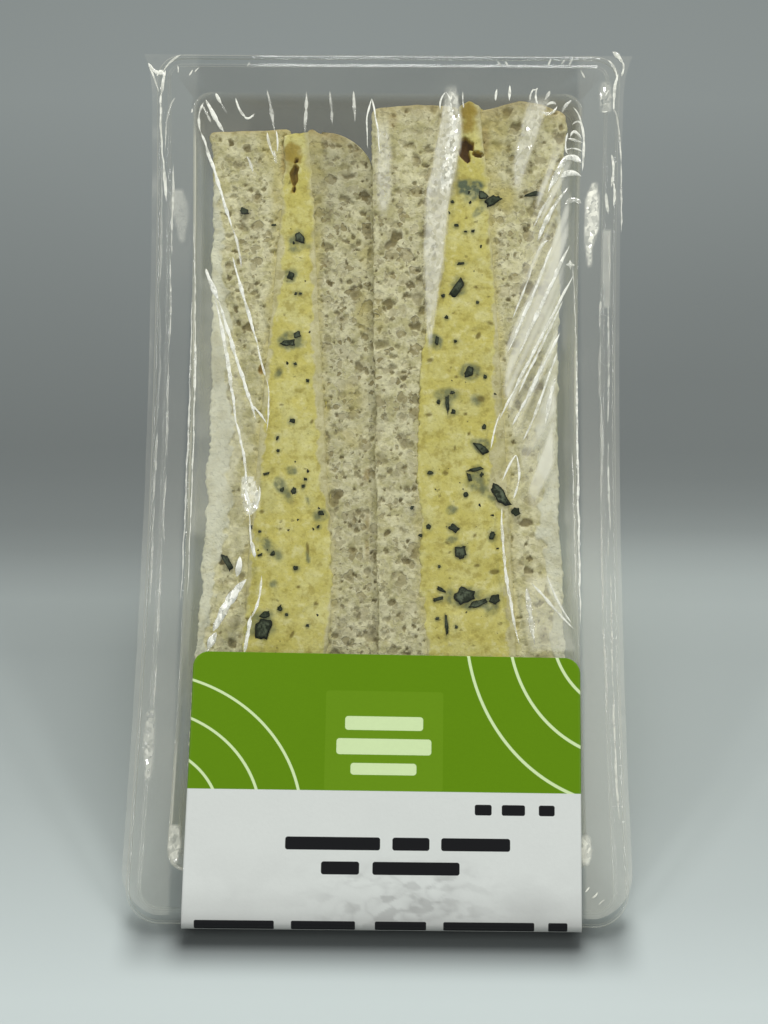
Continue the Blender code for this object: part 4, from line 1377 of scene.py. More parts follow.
@dataclass
class Film:
    """Clear film sealed on the flange: a sheet with shallow folds, and the sharp creases on it."""

    pack: Pack
    columns: int = 236
    rows: int = 400
    creases: tuple[Crease, ...] = LEFT_CREASES + MOUTH_CREASES + LADDER_CREASES + RIGHT_CREASES
    fold_height: float = 0.00022
    fold_width: float = 0.0006
    seed: int = 5

    def outline(self) -> tuple[Array, Array]:
        """The film's rows: rounded lower corners, drawn to a tip at the upper ones.

        Returns:
            The rows' heights v, and the film's half width at each.
        """
        pack = self.pack
        radius = pack.film_lower_radius
        plain_top = pack.film_high - pack.film_tip_reach
        turn = np.radians(np.linspace(12, 90, 14))
        low = pack.film_low + radius * (1 - np.cos(turn))
        v = np.concatenate([low, np.linspace(low[-1], pack.film_high, self.rows - len(low) + 1)[1:]])
        cut = np.maximum(0.0, pack.film_low + radius - v)
        tip = np.maximum(0.0, v - plain_top) / pack.film_tip_reach
        half = pack.flange_half + pack.film_overhang - radius + np.sqrt(radius ** 2 - cut ** 2)
        return v, half + pack.film_tip * tip ** 3

    def inside(self, x: Array, v: Array, fade: float) -> Array:
        """1 over the mouth, falling to 0 at its edge over the given width."""
        pack = self.pack
        share = smooth((pack.mouth_half - np.abs(x)) / fade) * smooth((v - pack.mouth_low) / fade)
        return share * smooth((pack.mouth_high - v) / fade)

    def folds(self, x: Array, v: Array) -> Array:
        """Heights of the soft folds under the creases.

        Args:
            x, v: Places on the film.

        Returns:
            The height at each place, in metres.
        """
        spots = np.stack([x.ravel(), v.ravel()], axis=1)
        height = np.zeros(len(spots))
        for crease in self.creases:
            line = crease.line(8)
            width = self.fold_width + crease.width / 1000
            low, high = line.min(0) - 3 * width, line.max(0) + 3 * width
            near_by = np.flatnonzero(((spots > low) & (spots < high)).all(1))
            here = spots[near_by]
            away = np.full(len(here), np.inf)
            along = np.zeros(len(here))
            for number, (near, far) in enumerate(zip(line, line[1:])):
                step = far - near
                share = np.clip((here - near) @ step / (step @ step), 0, 1)
                gone = np.linalg.norm(here - near - share[:, None] * step, axis=1)
                closer = gone < away
                away[closer] = gone[closer]
                along[closer] = (number + share[closer]) / (len(line) - 1)
            rise = np.exp(-(away / width) ** 2) * np.sin(math.pi * np.clip(along, 0.02, 0.98)) ** 0.5
            height[near_by] = np.maximum(height[near_by], rise)
        return self.fold_height * height.reshape(x.shape)

    def patches(self, x: Array, v: Array) -> tuple[Array, Array]:
        """Where the film is white and where crinkled: partly haze, partly painted highlight and reflection.

        Args:
            x, v: Places on the film.

        Returns:
            The haze and the crinkle at each place, both 0 to 1.
        """
        noise = SoftNoise(self.seed)
        rough = noise.layers(x, v, 0.0035, 3)
        haze = np.zeros(x.shape)
        crinkle = np.zeros(x.shape)
        for veil in VEILS:
            cover = veil.cover(x, v, rough)
            haze = np.maximum(haze, veil.haze * cover * (0.85 + 0.35 * rough))
            crinkle = np.maximum(crinkle, veil.crinkle * cover)
        streak = x - 0.42 * v
        streaks = smooth((noise(streak / 0.0011, v / 0.016, 5.0) + 0.35) / 0.6)
        haze = np.maximum(haze, FAN_PAINTED_HIGHLIGHT.haze * FAN_PAINTED_HIGHLIGHT.cover(x, v, rough) * (0.25 + 0.75 * streaks))
        # Painted light: the film over the flange is whiter on the right side than on the left, and towards
        # its lower end
        flange = smooth((np.abs(x) - 0.0385) / 0.001)
        lower = smooth((0.120 - v) / 0.070)
        haze = haze + flange * np.where(x > 0, 0.08 + 0.12 * lower, 0.05 + 0.07 * lower)
        edge = smooth((np.abs(x) - 0.0452) / 0.0016) * (0.5 + 0.5 * noise(x / 0.01, v / 0.004))
        crinkle = np.maximum(crinkle, 0.5 * edge)
        haze = np.maximum(haze, 0.16 * edge)
        return np.clip(haze, 0, 0.9), np.clip(crinkle, 0, 1)

    def sheet(self) -> Shape:
        """The film's sheet, with its haze and crinkle marked."""
        v, half = self.outline()
        share = np.linspace(-1, 1, self.columns + 1)
        v = np.repeat(v[:, None], self.columns + 1, axis=1)
        x = self.pack.waisted(half[:, None] * share[None, :], v)
        noise = SoftNoise(self.seed + 1)
        inside = self.inside(x, v, 0.004)
        flutter = noise(x / 0.011, v / 0.016) * 0.00010 + noise(x / 0.004, v / 0.007) * 0.00003
        edge = smooth((np.abs(x) - 0.0450) / 0.0025) * noise(x / 0.009, v / 0.006) * 0.00025
        w = self.pack.film_lift + inside * (self.folds(x, v) + flutter) + edge
        haze, crinkle = self.patches(x, v)
        points = np.stack([x, v, w], axis=2)
        return Shape(points, sheet_faces(*x.shape), {"haze": haze, "crinkle": crinkle})

    def pleat_lines(self) -> list[Crease]:
        """All sharp creases: the measured ones, marks of the seal, glimmers along the long sides, and
        painted highlight lines along the tray's rim.
        """
        pack = self.pack
        draw = np.random.default_rng(self.seed)
        lines = list(self.creases + CORNER_CREASES + RIM_PAINTED_HIGHLIGHTS)
        for x, v, long, turn in SEAL_MARKS:
            place = np.array((x, v))
            out = 0.5 * long * np.array((math.cos(math.radians(turn)), math.sin(math.radians(turn))))
            bow = draw.uniform(-0.15, 0.15, 2)
            lines.append(Crease(tuple(place - out), tuple(place + bow), tuple(place + out), 0.34, 0.7))
        middle = pack.flange_tall * 500
        for side, x, low, high, white in GLIMMERS:
            v = low
            while v < high:
                length = draw.uniform(6, 26)
                spots = []
                for height in (v, v + length / 2, min(v + length, high)):
                    draw_in = 1000 * pack.waist * (1 - ((height - middle) / middle) ** 2)
                    spots.append((side * (x - draw_in) + 0.25 * draw.uniform(-1, 1), height))
                lines.append(Crease(*spots, draw.uniform(0.30, 0.60), white * draw.uniform(0.6, 1.4), 0.3))
                v += length + draw.uniform(-2, 5)
        return lines

    def pleat_tree(self) -> Group:
        """Geometry Nodes: a flat tapering pleat along each line of a mesh of edges.

        Returns:
            The tree, with inputs Geometry, Flatness, Taper, Sides and Finish.
        """
        def kept(name: str) -> Socket:
            return tree.add("GeometryNodeInputNamedAttribute", {"Name": name}, data_type="FLOAT").outputs[0]

        def keep(geometry: Socket, name: str, value: Socket) -> Socket:
            feeds = {"Geometry": geometry, "Name": name, "Value": value}
            return tree.add("GeometryNodeStoreNamedAttribute", feeds, domain="POINT").outputs[0]

        inputs = {"Geometry": "NodeSocketGeometry", "Flatness": 0.5, "Taper": 0.5, "Sides": 8,
                  "Finish": "NodeSocketMaterial"}
        tree, given, wanted = new_group("film_pleats", "GeometryNodeTree", inputs,
                                        {"Geometry": "NodeSocketGeometry"})
        place = tree.add("GeometryNodeInputPosition").outputs[0]
        curve = tree.add("GeometryNodeMeshToCurve", {"Mesh": given["Geometry"]}).outputs[0]
        up = tree.add("GeometryNodeSetCurveNormal", {"Curve": curve}, mode="Z_UP").outputs[0]
        width = tree.times(kept("width"), tree.span(tree.noise(place, 0.0016), 0.3, 0.7, 0.50, 1.20))
        along = tree.add("GeometryNodeSplineParameter").outputs["Factor"]
        hump = tree.times(tree.times(along, tree.rest(along)), 4.0)
        radius = tree.times(width, tree.math("POWER", hump, given["Taper"]))
        feeds = {"Resolution": given["Sides"], "Radius": 0.5}
        profile = tree.add("GeometryNodeCurvePrimitiveCircle", feeds).outputs[0]
        across = tree.add("ShaderNodeSeparateXYZ", {0: place}).outputs[0]
        ring = keep(profile, "inner", tree.rest(tree.times(tree.math("ABSOLUTE", across), 2.0)))
        scale = tree.add("ShaderNodeCombineXYZ", {0: 1.0, 1: given["Flatness"], 2: 1.0}).outputs[0]
        flat = tree.add("GeometryNodeTransform", {"Geometry": ring, "Scale": scale}).outputs[0]
        feeds = {"Curve": up, "Profile Curve": flat, "Fill Caps": True, "Scale": radius}
        tube = tree.add("GeometryNodeCurveToMesh", feeds).outputs[0]
        fade = tree.times(kept("soft"), tree.rest(tree.span(kept("inner"), 0.0, 0.8)))
        # The crease's white becomes its haze: partly whitening of the creased film, partly painted highlight
        marked = keep(tube, "haze", tree.times(kept("white"), tree.rest(fade)))
        marked = keep(marked, "crinkle", tree.span(kept("width"), 0.0006, 0.0015, 0.20, 1.0))
        tree.feed(wanted["Geometry"], finished(tree, marked, given["Finish"]))
        return tree.tree

    def pleats(self, finish: Material) -> Piece:
        """Builds the sharp creases.

        Args:
            finish: Their clear plastic.

        Returns:
            One piece with all creases, lying on the sheet.
        """
        points, edges = [], []
        marks = {"width": [], "white": [], "soft": []}
        noise = SoftNoise(self.seed + 9)
        for crease in self.pleat_lines():
            steps = max(8, int(crease.length / 0.0007))
            line = crease.line(steps)
            sway = 0.12 if crease.length > 0.006 else 0.04
            line[:, 0] += sway / 1000 * noise(line[:, 0] / 0.003, line[:, 1] / 0.0026)
            x, v = line[:, 0], line[:, 1]
            first = len(points)
            height = self.pack.film_lift + self.inside(x, v, 0.004) * self.folds(x, v)
            points += np.column_stack([line, height]).tolist()
            edges += [(first + k, first + k + 1) for k in range(steps - 1)]
            for name, values in marks.items():
                values += [getattr(crease, name) * (0.001 if name == "width" else 1.0)] * steps
        mesh = Shape(np.array(points), [], marks, edges).mesh("crease_lines")
        tree = self.pleat_tree()
        values = {"Flatness": 0.30, "Taper": 0.45, "Sides": 12, "Finish": finish}
        made = STAND.piece("film_pleats", mesh, None, lambda piece: grow(piece, tree, values))
        made.data.shade_smooth()
        settle(made, Slot.FILM)
        return made

    def build(self, finish: Material, pleat_finish: Material) -> None:
        """Builds the film and its creases.

        Args:
            finish: The sheet's clear plastic.
            pleat_finish: The creases' plastic.
        """
        made = STAND.piece("clear_film", self.sheet().mesh("film_sheet"), finish)
        settle(made, Slot.FILM, "film")
        self.pleats(pleat_finish)


def grow(piece: Piece, tree: Group, values: dict[str, object]) -> None:
    """Puts a Geometry Nodes tree on a piece and sets its named inputs.

    Args:
        piece: The piece that carries the tree.
        tree: The tree.
        values: What each named input is set to.
    """
    modifier = piece.modifiers.new(tree.name, "NODES")
    modifier.node_group = tree
    for item in tree.interface.items_tree:
        if item.item_type == "SOCKET" and item.in_out == "INPUT" and item.name in values:
            modifier[item.identifier] = values[item.name]


def finished(tree: Tree, geometry: Socket, finish: Socket) -> Socket:
    """Ends a Geometry Nodes tree: makes its copies real and gives them their material."""
    real = tree.add("GeometryNodeRealizeInstances", {"Geometry": geometry}).outputs[0]
    return tree.add("GeometryNodeSetMaterial", {"Geometry": real, "Material": finish}).outputs[0]


def scatter_tree() -> Group:
    """Geometry Nodes: small uneven bits strewn over a surface.

    Returns:
        The tree, with inputs Geometry, Density, Size, Flatness, Seed and Finish.
    """
    inputs = {"Geometry": "NodeSocketGeometry", "Density": 1000.0, "Size": 0.0004, "Flatness": 0.5,
              "Seed": 1, "Finish": "NodeSocketMaterial"}
    tree, given, wanted = new_group("strewn_bits", "GeometryNodeTree", inputs,
                                    {"Geometry": "NodeSocketGeometry"})

    def drawn(low: float, high: float, step: int) -> Socket:
        feeds = {"Seed": tree.math("ADD", given["Seed"], step), 2: low, 3: high}
        return tree.add("FunctionNodeRandomValue", feeds, data_type="FLOAT").outputs[1]

    feeds = {"Mesh": given["Geometry"], "Density": given["Density"], "Seed": given["Seed"]}
    spread = tree.add("GeometryNodeDistributePointsOnFaces", feeds).outputs
    bit = tree.add("GeometryNodeMeshIcoSphere", {"Radius": 0.5, "Subdivisions": 2}).outputs[0]
    rough = tree.add("ShaderNodeTexNoise", {"Scale": 2.3, "Detail": 1.0}).outputs["Color"]
    push = tree.vector("SUBTRACT", rough, (0.5, 0.5, 0.5))
    uneven = tree.add("GeometryNodeSetPosition", {"Geometry": bit, "Offset": push}).outputs[0]
    length = tree.times(tree.math("POWER", drawn(0.48, 1.05, 0), 2.4), given["Size"])
    sizes = {0: length, 1: tree.times(length, drawn(0.5, 1.0, 3)), 2: tree.times(length, given["Flatness"])}
    scale = tree.add("ShaderNodeCombineXYZ", sizes).outputs[0]
    feeds = {"Axis": (0, 0, 1), "Angle": drawn(0.0, 2 * math.pi, 7)}
    spin = tree.add("FunctionNodeAxisAngleToRotation", feeds).outputs[0]
    feeds = {"Rotation": spread["Rotation"], "Rotate By": spin}
    lay = tree.add("FunctionNodeRotateRotation", feeds, rotation_space="LOCAL").outputs[0]
    feeds = {"Points": spread["Points"], "Instance": uneven, "Rotation": lay, "Scale": scale}
    real = tree.add("GeometryNodeInstanceOnPoints", feeds).outputs[0]
    tree.feed(wanted["Geometry"], finished(tree, real, given["Finish"]))
    return tree.tree


@dataclass
class Label:
    """Paper label: down the window, round the flange's lower edge and under the lower side."""

    pack: Pack
    columns: int = 180
    front_rows: int = 150
    fold_steps: int = 8
    under_rows: int = 16
    wrinkle: float = 0.00016
    seed: int = 9

    def path(self) -> Array:
        """The label's inner line, from its top edge to its hidden end.

        Returns:
            The line's points as (v, w).
        """
        pack = self.pack
        radius = pack.label_fold_radius
        corner = pack.label_corner
        turn = np.radians(np.linspace(0, 90, 10))
        path = [(pack.label_top - corner * (1 - math.cos(a)), pack.label_lift) for a in turn]
        for share in np.linspace(0, 1, self.front_rows + 1)[1:-1]:
            v = (pack.label_top - corner) * (1 - share) + pack.label_fold_v * share
            path.append((v, pack.label_lift))
        for a in np.linspace(0, math.pi / 2, self.fold_steps + 1):
            v = pack.label_fold_v - radius * math.sin(a)
            path.append((v, pack.label_lift - radius * (1 - math.cos(a))))
        for a in np.radians(np.linspace(0, 60, self.fold_steps)):
            path.append((pack.label_fold_v - radius * math.cos(a), -pack.lip_drop - radius * math.sin(a)))
        side_v = pack.mouth_low + pack.collar_draft - pack.collar_deep - (pack.wall + pack.gap) * math.sqrt(2)
        first = np.array(path[-1])
        meets = np.array((side_v + pack.label_meets_side, -pack.label_meets_side))
        end = np.array((side_v + pack.label_under_end, -pack.label_under_end))
        half = self.under_rows // 2
        path += [tuple(first + (meets - first) * k / half) for k in range(1, half + 1)]
        path += [tuple(meets + (end - meets) * k / half) for k in range(1, half + 1)]
        return np.array(path)

    def build(self, finish: Material) -> Piece:
        """Builds the label with its print's map.

        Args:
            finish: Its printed paper.

        Returns:
            The label, which stands for the CAD label.
        """
        pack = self.pack
        path = self.path()
        steps = np.linalg.norm(np.diff(path, axis=0), axis=1)
        down = np.concatenate([[0.0], np.cumsum(steps)])
        cut = np.clip((path[:, 0] - (pack.label_top - pack.label_corner)) / pack.label_corner, 0, 1)
        cut[down > pack.label_corner] = 0
        half = pack.label_half - pack.label_corner * (1 - np.sqrt(1 - cut ** 2))
        share = np.linspace(-1, 1, self.columns + 1)
        across = half[:, None] * share[None, :]
        far = np.repeat(down[:, None], self.columns + 1, axis=1)
        noise = SoftNoise(self.seed)
        crumple = noise.layers(across + 0.5 * far, far - 0.3 * across, 0.009, 3)
        low = smooth((far - 0.034) / 0.010) * smooth((0.0500 - far) / 0.003)
        middle = np.exp(-((across - 0.004) / 0.018) ** 2)
        rise = self.wrinkle * np.abs(crumple) * low * (0.25 + middle)
        rise += 0.00005 * noise(across / 0.02, far / 0.02) * smooth((0.0490 - far) / 0.004)
        high = smooth(path[:, :1] / pack.label_top) * (far < pack.label_top + 0.002)
        lean = np.clip(-across / pack.label_half, -1, 1) * high
        x = across + pack.label_shift + 0.0007 * np.maximum(lean, 0)
        lift = np.repeat(path[:, 1:], self.columns + 1, axis=1) + np.maximum(rise, 0)
        points = np.stack([x, path[:, :1] + 0.0004 * lean, lift], axis=2)
        faces = sheet_faces(*across.shape)
        ridge = (1 - np.abs(noise.layers(across, far * 1.6, 0.0034, 2))) ** 6
        patch = smooth((noise.layers(across * 0.7, far * 1.4, 0.0023, 3) - 0.08) / 0.22)
        worn = np.exp(-((across - 0.004) / 0.014) ** 2) * smooth((far - 0.0375) / 0.004)
        scuff_and_fold_shade = (0.45 * patch + 0.30 * ridge) * worn + 0.12 * smooth((crumple + 0.15) / 0.5) * low
        # Painted shade: the paper greys more and more towards the fold round the flange's lower edge
        fold_shade_depth = 0.40 + 0.20 * crumple
        scuff_and_fold_shade += fold_shade_depth * smooth((far - 0.0425) / 0.006) + 0.55 * smooth((far - 0.0478) / 0.0036)
        scuff_and_fold_shade = np.clip(scuff_and_fold_shade, 0, 1)
        mesh = Shape(points, faces, {"scuff_and_fold_shade": scuff_and_fold_shade}).mesh("label_sheet")
        printed = mesh.uv_layers.new(name="print")
        corner = np.empty(len(mesh.loops), np.int32)
        mesh.loops.foreach_get("vertex_index", corner)
        places = np.stack([across.ravel(), far.ravel()], axis=1)[corner]
        printed.data.foreach_set("uv", places.astype(np.float32).ravel())
        made = STAND.piece("paper_label", mesh, finish, thickened(pack.label_thick))
        settle(made, Slot.LABEL, "label")
        return made


@dataclass(frozen=True)
class Herb:
    """A bit of green at the cut, in millimetres and degrees: place, length, width and turn."""

    x: float
    v: float
    long: float
    wide: float
    turn: float
    pale: float = 0.3

    def cover(self, x: Array, v: Array, ragged: Array) -> Array:
        """How much of places given in metres the bit covers, from 0 to 1, with ragged noise at its rim."""
        lean = math.radians(self.turn)
        aside, up = x * 1000 - self.x, v * 1000 - self.v
        along = (aside * math.cos(lean) + up * math.sin(lean)) / (self.long / 2)
        beside = (up * math.cos(lean) - aside * math.sin(lean)) / (self.wide / 2)
        return smooth((1.25 - np.hypot(along, beside) + 0.55 * ragged) / 0.7)


@dataclass(frozen=True)
class Half:
    """One triangular half sandwich, with the forms that the CAD model gives its layers."""

    side: int
    leg: float
    cut_depth: float
    centre_v: float
    fill_x: float
    fill_sway: float
    bulge: float
    power: float
    outer_rounds: tuple[float, float]
    inner_rounds: tuple[float, float]
    shown: tuple[tuple[float, float, float], ...]
    corner: float = 0.0100
    cut_reach: float = 0.0140
    slice_outer: float = 0.0346
    slice_flare: float = 0.0020
    deep_outer: float = 0.0354
    filling_inset: float = 0.0042
    filling_end: float = 0.0014
    filling_deep: float = 0.0046
    filling_fade: float = 0.0160

    @property
    def sharp(self) -> float:
        """Half the cut's length if the tips were sharp, which is also the triangle's depth then."""
        return self.leg / math.sqrt(2)

    @property
    def reach(self) -> float:
        """Depth of the centre of the back corner's round."""
        return self.sharp - self.corner * math.sqrt(2)

    @property
    def tip(self) -> float:
        """Half the cut's length between its rounded tips."""
        return self.reach + self.corner

    @staticmethod
    def seam(v: Array) -> Array:
        """Where the two halves meet, leaning a little to the left towards the top."""
        return -0.0006 - 0.026 * (v - 0.054)

    def spread(self, behind: float) -> float:
        """Half the height of the bread triangle at a distance behind its cut."""
        bend = self.corner / math.sqrt(2)
        if behind < bend:
            return self.reach + math.sqrt(self.corner ** 2 - behind ** 2)
        if behind < self.reach + bend:
            return self.sharp - behind
        return math.sqrt(max(0.0, self.corner ** 2 - (behind - self.reach) ** 2))

    def inwards(self, d: Array) -> Array:
        """0 at the cut, 1 where the layers have their even, inner thickness."""
        return smooth((d - self.cut_depth) / self.cut_reach)

    def filling_middle(self, v: Array) -> Array:
        """The filling's mid-plane, which follows the seam in the right half and is upright in the left."""
        if self.side < 0:
            return np.full(np.shape(v), self.fill_x)
        sway = ((v - 0.088) / 0.066) ** 2
        return self.seam(v) + self.fill_x + self.fill_sway * np.minimum(1.5, sway)

    def filling_half(self, v: Array, d: Array) -> Array:
        """Half the filling's thickness: wide low on the cut, thin at its ends, even further in."""
        bulge_v = 0.060
        above = self.centre_v + self.tip - bulge_v
        below = bulge_v - self.centre_v + self.tip
        share = np.minimum(1.0, np.abs(v - bulge_v) / np.where(v > bulge_v, above, below))
        at_cut = self.filling_end + (self.bulge - self.filling_end) * (1 - share ** self.power)
        behind = d - self.cut_depth
        near = np.minimum(self.centre_v + self.sharp - behind - v, v - behind - self.centre_v + self.sharp)
        deep = self.filling_end + (self.filling_deep - self.filling_end) * smooth(
            near / math.sqrt(2) / self.filling_fade)
        inwards = self.inwards(d)
        return at_cut * (1 - inwards) + deep * inwards

    def outer_face(self, v: Array, d: Array) -> Array:
        """The outer face of the outer slice, flaring a little towards both tips."""
        flare = self.slice_flare * np.minimum(1.0, np.abs(v - 0.100) / 0.060) ** 2
        inwards = self.inwards(d)
        return self.side * ((self.slice_outer + flare) * (1 - inwards) + self.deep_outer * inwards)

    def rounded_top(self, v: Array, radius: float) -> Array:
        """How far a slice's face draws in where it nears the top tip."""
        rise = np.clip(v - (self.centre_v + self.tip - radius), 0.0, radius)
        return radius - np.sqrt(radius ** 2 - rise ** 2)


# Where the filling shows at the cut, in millimetres: height v, low x and high x
LEFT_SHOWN = (
    (46.0, -27.4, -10.8), (54.0, -27.0, -10.8), (60.0, -26.6, -9.9), (66.0, -25.9, -9.8), (73.0, -25.6, -9.6),
    (77.0, -25.8, -10.8), (82.0, -24.6, -11.6), (87.0, -24.2, -12.7), (93.0, -23.9, -13.1),
    (100.0, -23.2, -13.9), (110.0, -23.3, -14.3), (120.0, -22.2, -14.8), (128.0, -20.9, -15.2),
    (138.0, -21.0, -14.8), (143.5, -20.7, -15.4), (147.0, -20.8, -16.4), (154.0, -21.2, -17.0),
    (165.0, -21.0, -16.6),
)
RIGHT_SHOWN = (
    (46.0, 9.6, 25.0), (54.0, 9.0, 24.6), (60.0, 8.0, 24.2), (73.0, 7.3, 24.0), (80.0, 7.2, 23.4),
    (83.5, 7.0, 21.4), (90.0, 6.9, 21.2), (94.0, 6.8, 22.2), (100.0, 6.4, 22.2), (111.0, 7.2, 22.0),
    (118.0, 9.0, 21.8), (124.0, 10.4, 21.5), (128.0, 11.6, 21.1), (134.7, 12.1, 21.0), (141.5, 13.1, 20.5),
    (148.0, 14.2, 20.0), (151.7, 14.5, 19.6), (155.0, 15.4, 19.0), (160.0, 15.3, 18.2), (166.0, 15.6, 17.8),
    (170.0, 15.8, 17.4),
)
LEFT = Half(side=-1, leg=0.1087, cut_depth=0.0024, centre_v=0.0863, fill_x=-0.0182, fill_sway=0.0,
            bulge=0.0080, power=1.15, outer_rounds=(0.0007, 0.0012), inner_rounds=(0.0012, 0.0105),
            shown=LEFT_SHOWN)
RIGHT = Half(side=1, leg=0.1135, cut_depth=0.0009, centre_v=0.0879, fill_x=0.0176, fill_sway=0.0020,
             bulge=0.0082, power=2.2, outer_rounds=(0.0022, 0.0014), inner_rounds=(0.0020, 0.0018),
             shown=RIGHT_SHOWN)

Face = Callable[[Array, Array], Array]


@dataclass
class Layer:
    """A layer that runs through a half sandwich: a fine cut face, and rings of points behind it.

    Each pair of numbers is for the side at lower x and the side at higher x.
    """

    half: Half
    low: Face
    high: Face
    seed: int
    stray: tuple[float, float] = (0.00015, 0.00015)
    lap: tuple[float, float] = (0.0, 0.0)
    top_drops: tuple[float, ...] = (0.0, 0.0)
    inset: float = 0.0
    inset_at_cut: float = 0.0
    back_turn: float = 90.0
    tall_steps: int = 560
    wide_steps: int = 66
    edge_round: float = 0.00030

    def spread(self, behind: float) -> float:
        """Half the layer's height at a distance behind the cut."""
        spread = self.half.spread(behind)
        share = min(1.0, behind / 0.010)
        inset = self.inset_at_cut + (self.inset - self.inset_at_cut) * share
        return spread - min(inset * math.sqrt(2), 0.4 * spread)

    def depths(self) -> list[float]:
        """Distances behind the cut of the rings, closest where the form turns."""
        half = self.half
        near = [0.0005, 0.0011, 0.0019, 0.0030, 0.0044, 0.0062, 0.0080, 0.0105, 0.0140]
        plain = np.linspace(0.0140, half.reach + 0.001, 9)[1:].tolist()
        turns = np.radians(np.linspace(18, self.back_turn, 8))
        return near + plain + [half.reach + half.corner * math.sin(turn) for turn in turns]

    def spots(self, up: Array, across: Array, behind: float) -> Array:
        """Points of the layer.

        Args:
            up: Places along its height, -1 to 1.
            across: Places through its thickness, 0 to 1.
            behind: The distance behind the cut.

        Returns:
            The points as (x, v, w).
        """
        half = self.half
        v = half.centre_v + self.spread(behind) * up
        d = np.full(v.shape, half.cut_depth + behind)
        low, high = self.low(v, d), self.high(v, d)
        noise = SoftNoise(self.seed + 40)
        fade = math.exp(-behind / 0.0035)
        over = float(smooth(np.array(1 - behind / 0.0015)))
        low = low + self.stray[0] * fade * self.ragged(noise, v, 0.0) - self.lap[0] * over
        high = high + self.stray[1] * fade * self.ragged(noise, v, 31.0) + self.lap[1] * over
        drop = np.interp(across, np.linspace(0, 1, len(self.top_drops)), self.top_drops) / 1000
        drop = drop + 0.00015 * noise(across * 7, 50.0)
        near_top = smooth((v - half.centre_v - half.tip + 0.020) / 0.020)
        v = v - drop * near_top * math.exp(-behind / 0.012)
        return np.stack([low + (high - low) * across, v, -d], axis=-1)

    @staticmethod
    def ragged(noise: SoftNoise, v: Array, row: float) -> Array:
        """How far the edge of the cut strays from its even line, -1 to 1."""
        wide, middle, fine = noise(v / 0.0046, row), noise(v / 0.0016, row + 9), noise(v / 0.00055, row + 17)
        return 0.42 * wide + 0.34 * middle + 0.30 * fine

    def shape(self) -> tuple[Shape, Array, Array, Array]:
        """The layer's points and faces.

        Returns:
            The shape, marked with the distance behind the cut; the part of its points that is the cut
            face; and how far those lie from the cut's long edges and from its ends.
        """
        rows, columns = self.tall_steps + 1, self.wide_steps + 1
        up = np.linspace(-1, 1, rows)
        across = np.linspace(0, 1, columns)
        grid = self.spots(*np.meshgrid(up, across, indexing="ij"), 0.0)
        sides = np.minimum(grid[:, :, 0] - grid[:, :1, 0], grid[:, -1:, 0] - grid[:, :, 0])
        ends = np.minimum(grid[:, :, 1] - grid[:1, :, 1], grid[-1:, :, 1] - grid[:, :, 1])
        loop = [(0, j) for j in range(columns)] + [(i, columns - 1) for i in range(1, rows)]
        loop += [(rows - 1, j) for j in range(columns - 2, -1, -1)] + [(i, 0) for i in range(rows - 2, 0, -1)]
        loop = np.array(loop)
        rings = [self.spots(up[loop[:, 0]], across[loop[:, 1]], behind) for behind in self.depths()]
        faces = sheet_faces(rows, columns)
        near = loop[:, 0] * columns + loop[:, 1]
        behinds = [np.zeros(rows * columns)]
        for number, ring in enumerate(rings):
            far = rows * columns + number * len(loop) + np.arange(len(loop))
            faces += np.stack([near, np.roll(near, -1), np.roll(far, -1), far], axis=1).tolist()
            near = far
            behinds.append(np.full(len(ring), self.depths()[number]))
        faces.append(near.tolist())
        points = np.concatenate([grid.reshape(-1, 3)] + rings)
        shape = Shape(points, faces, {"behind": np.concatenate(behinds)})
        return shape, points[:rows * columns], sides.ravel(), ends.ravel()

    def rounding(self, sides: Array, ends: Array) -> Array:
        """How far the cut face sinks at its rounded edges."""
        radius = self.edge_round
        near = np.clip(radius - np.minimum(sides, ends), 0, radius)
        return radius - np.sqrt(np.maximum(radius ** 2 - near ** 2, 0.0))


class Role(Enum):
    """Which slice of a half sandwich this is."""

    OUTER = 1
    INNER = 2


@dataclass(frozen=True)
class PoreSize:
    """One size class of pores: how many on a square centimetre, and their radius and depth in metres."""

    density: float
    small: float
    large: float
    deep: float


@dataclass(frozen=True)
class Spot:
    """A stain or a hole at the cut, in millimetres: its place, half width, half height and strength."""

    x: float
    v: float
    wide: float
    tall: float
    strength: float
    soft: float = 0.5

    def cover(self, x: Array, v: Array, ragged: Array) -> Array:
        """How strongly the spot covers places given in metres, with ragged noise at its rim."""
        reach = np.hypot((x * 1000 - self.x) / self.wide, (v * 1000 - self.v) / self.tall)
        return self.strength * smooth((1 + self.soft / 2 - reach + 0.45 * ragged) / self.soft)


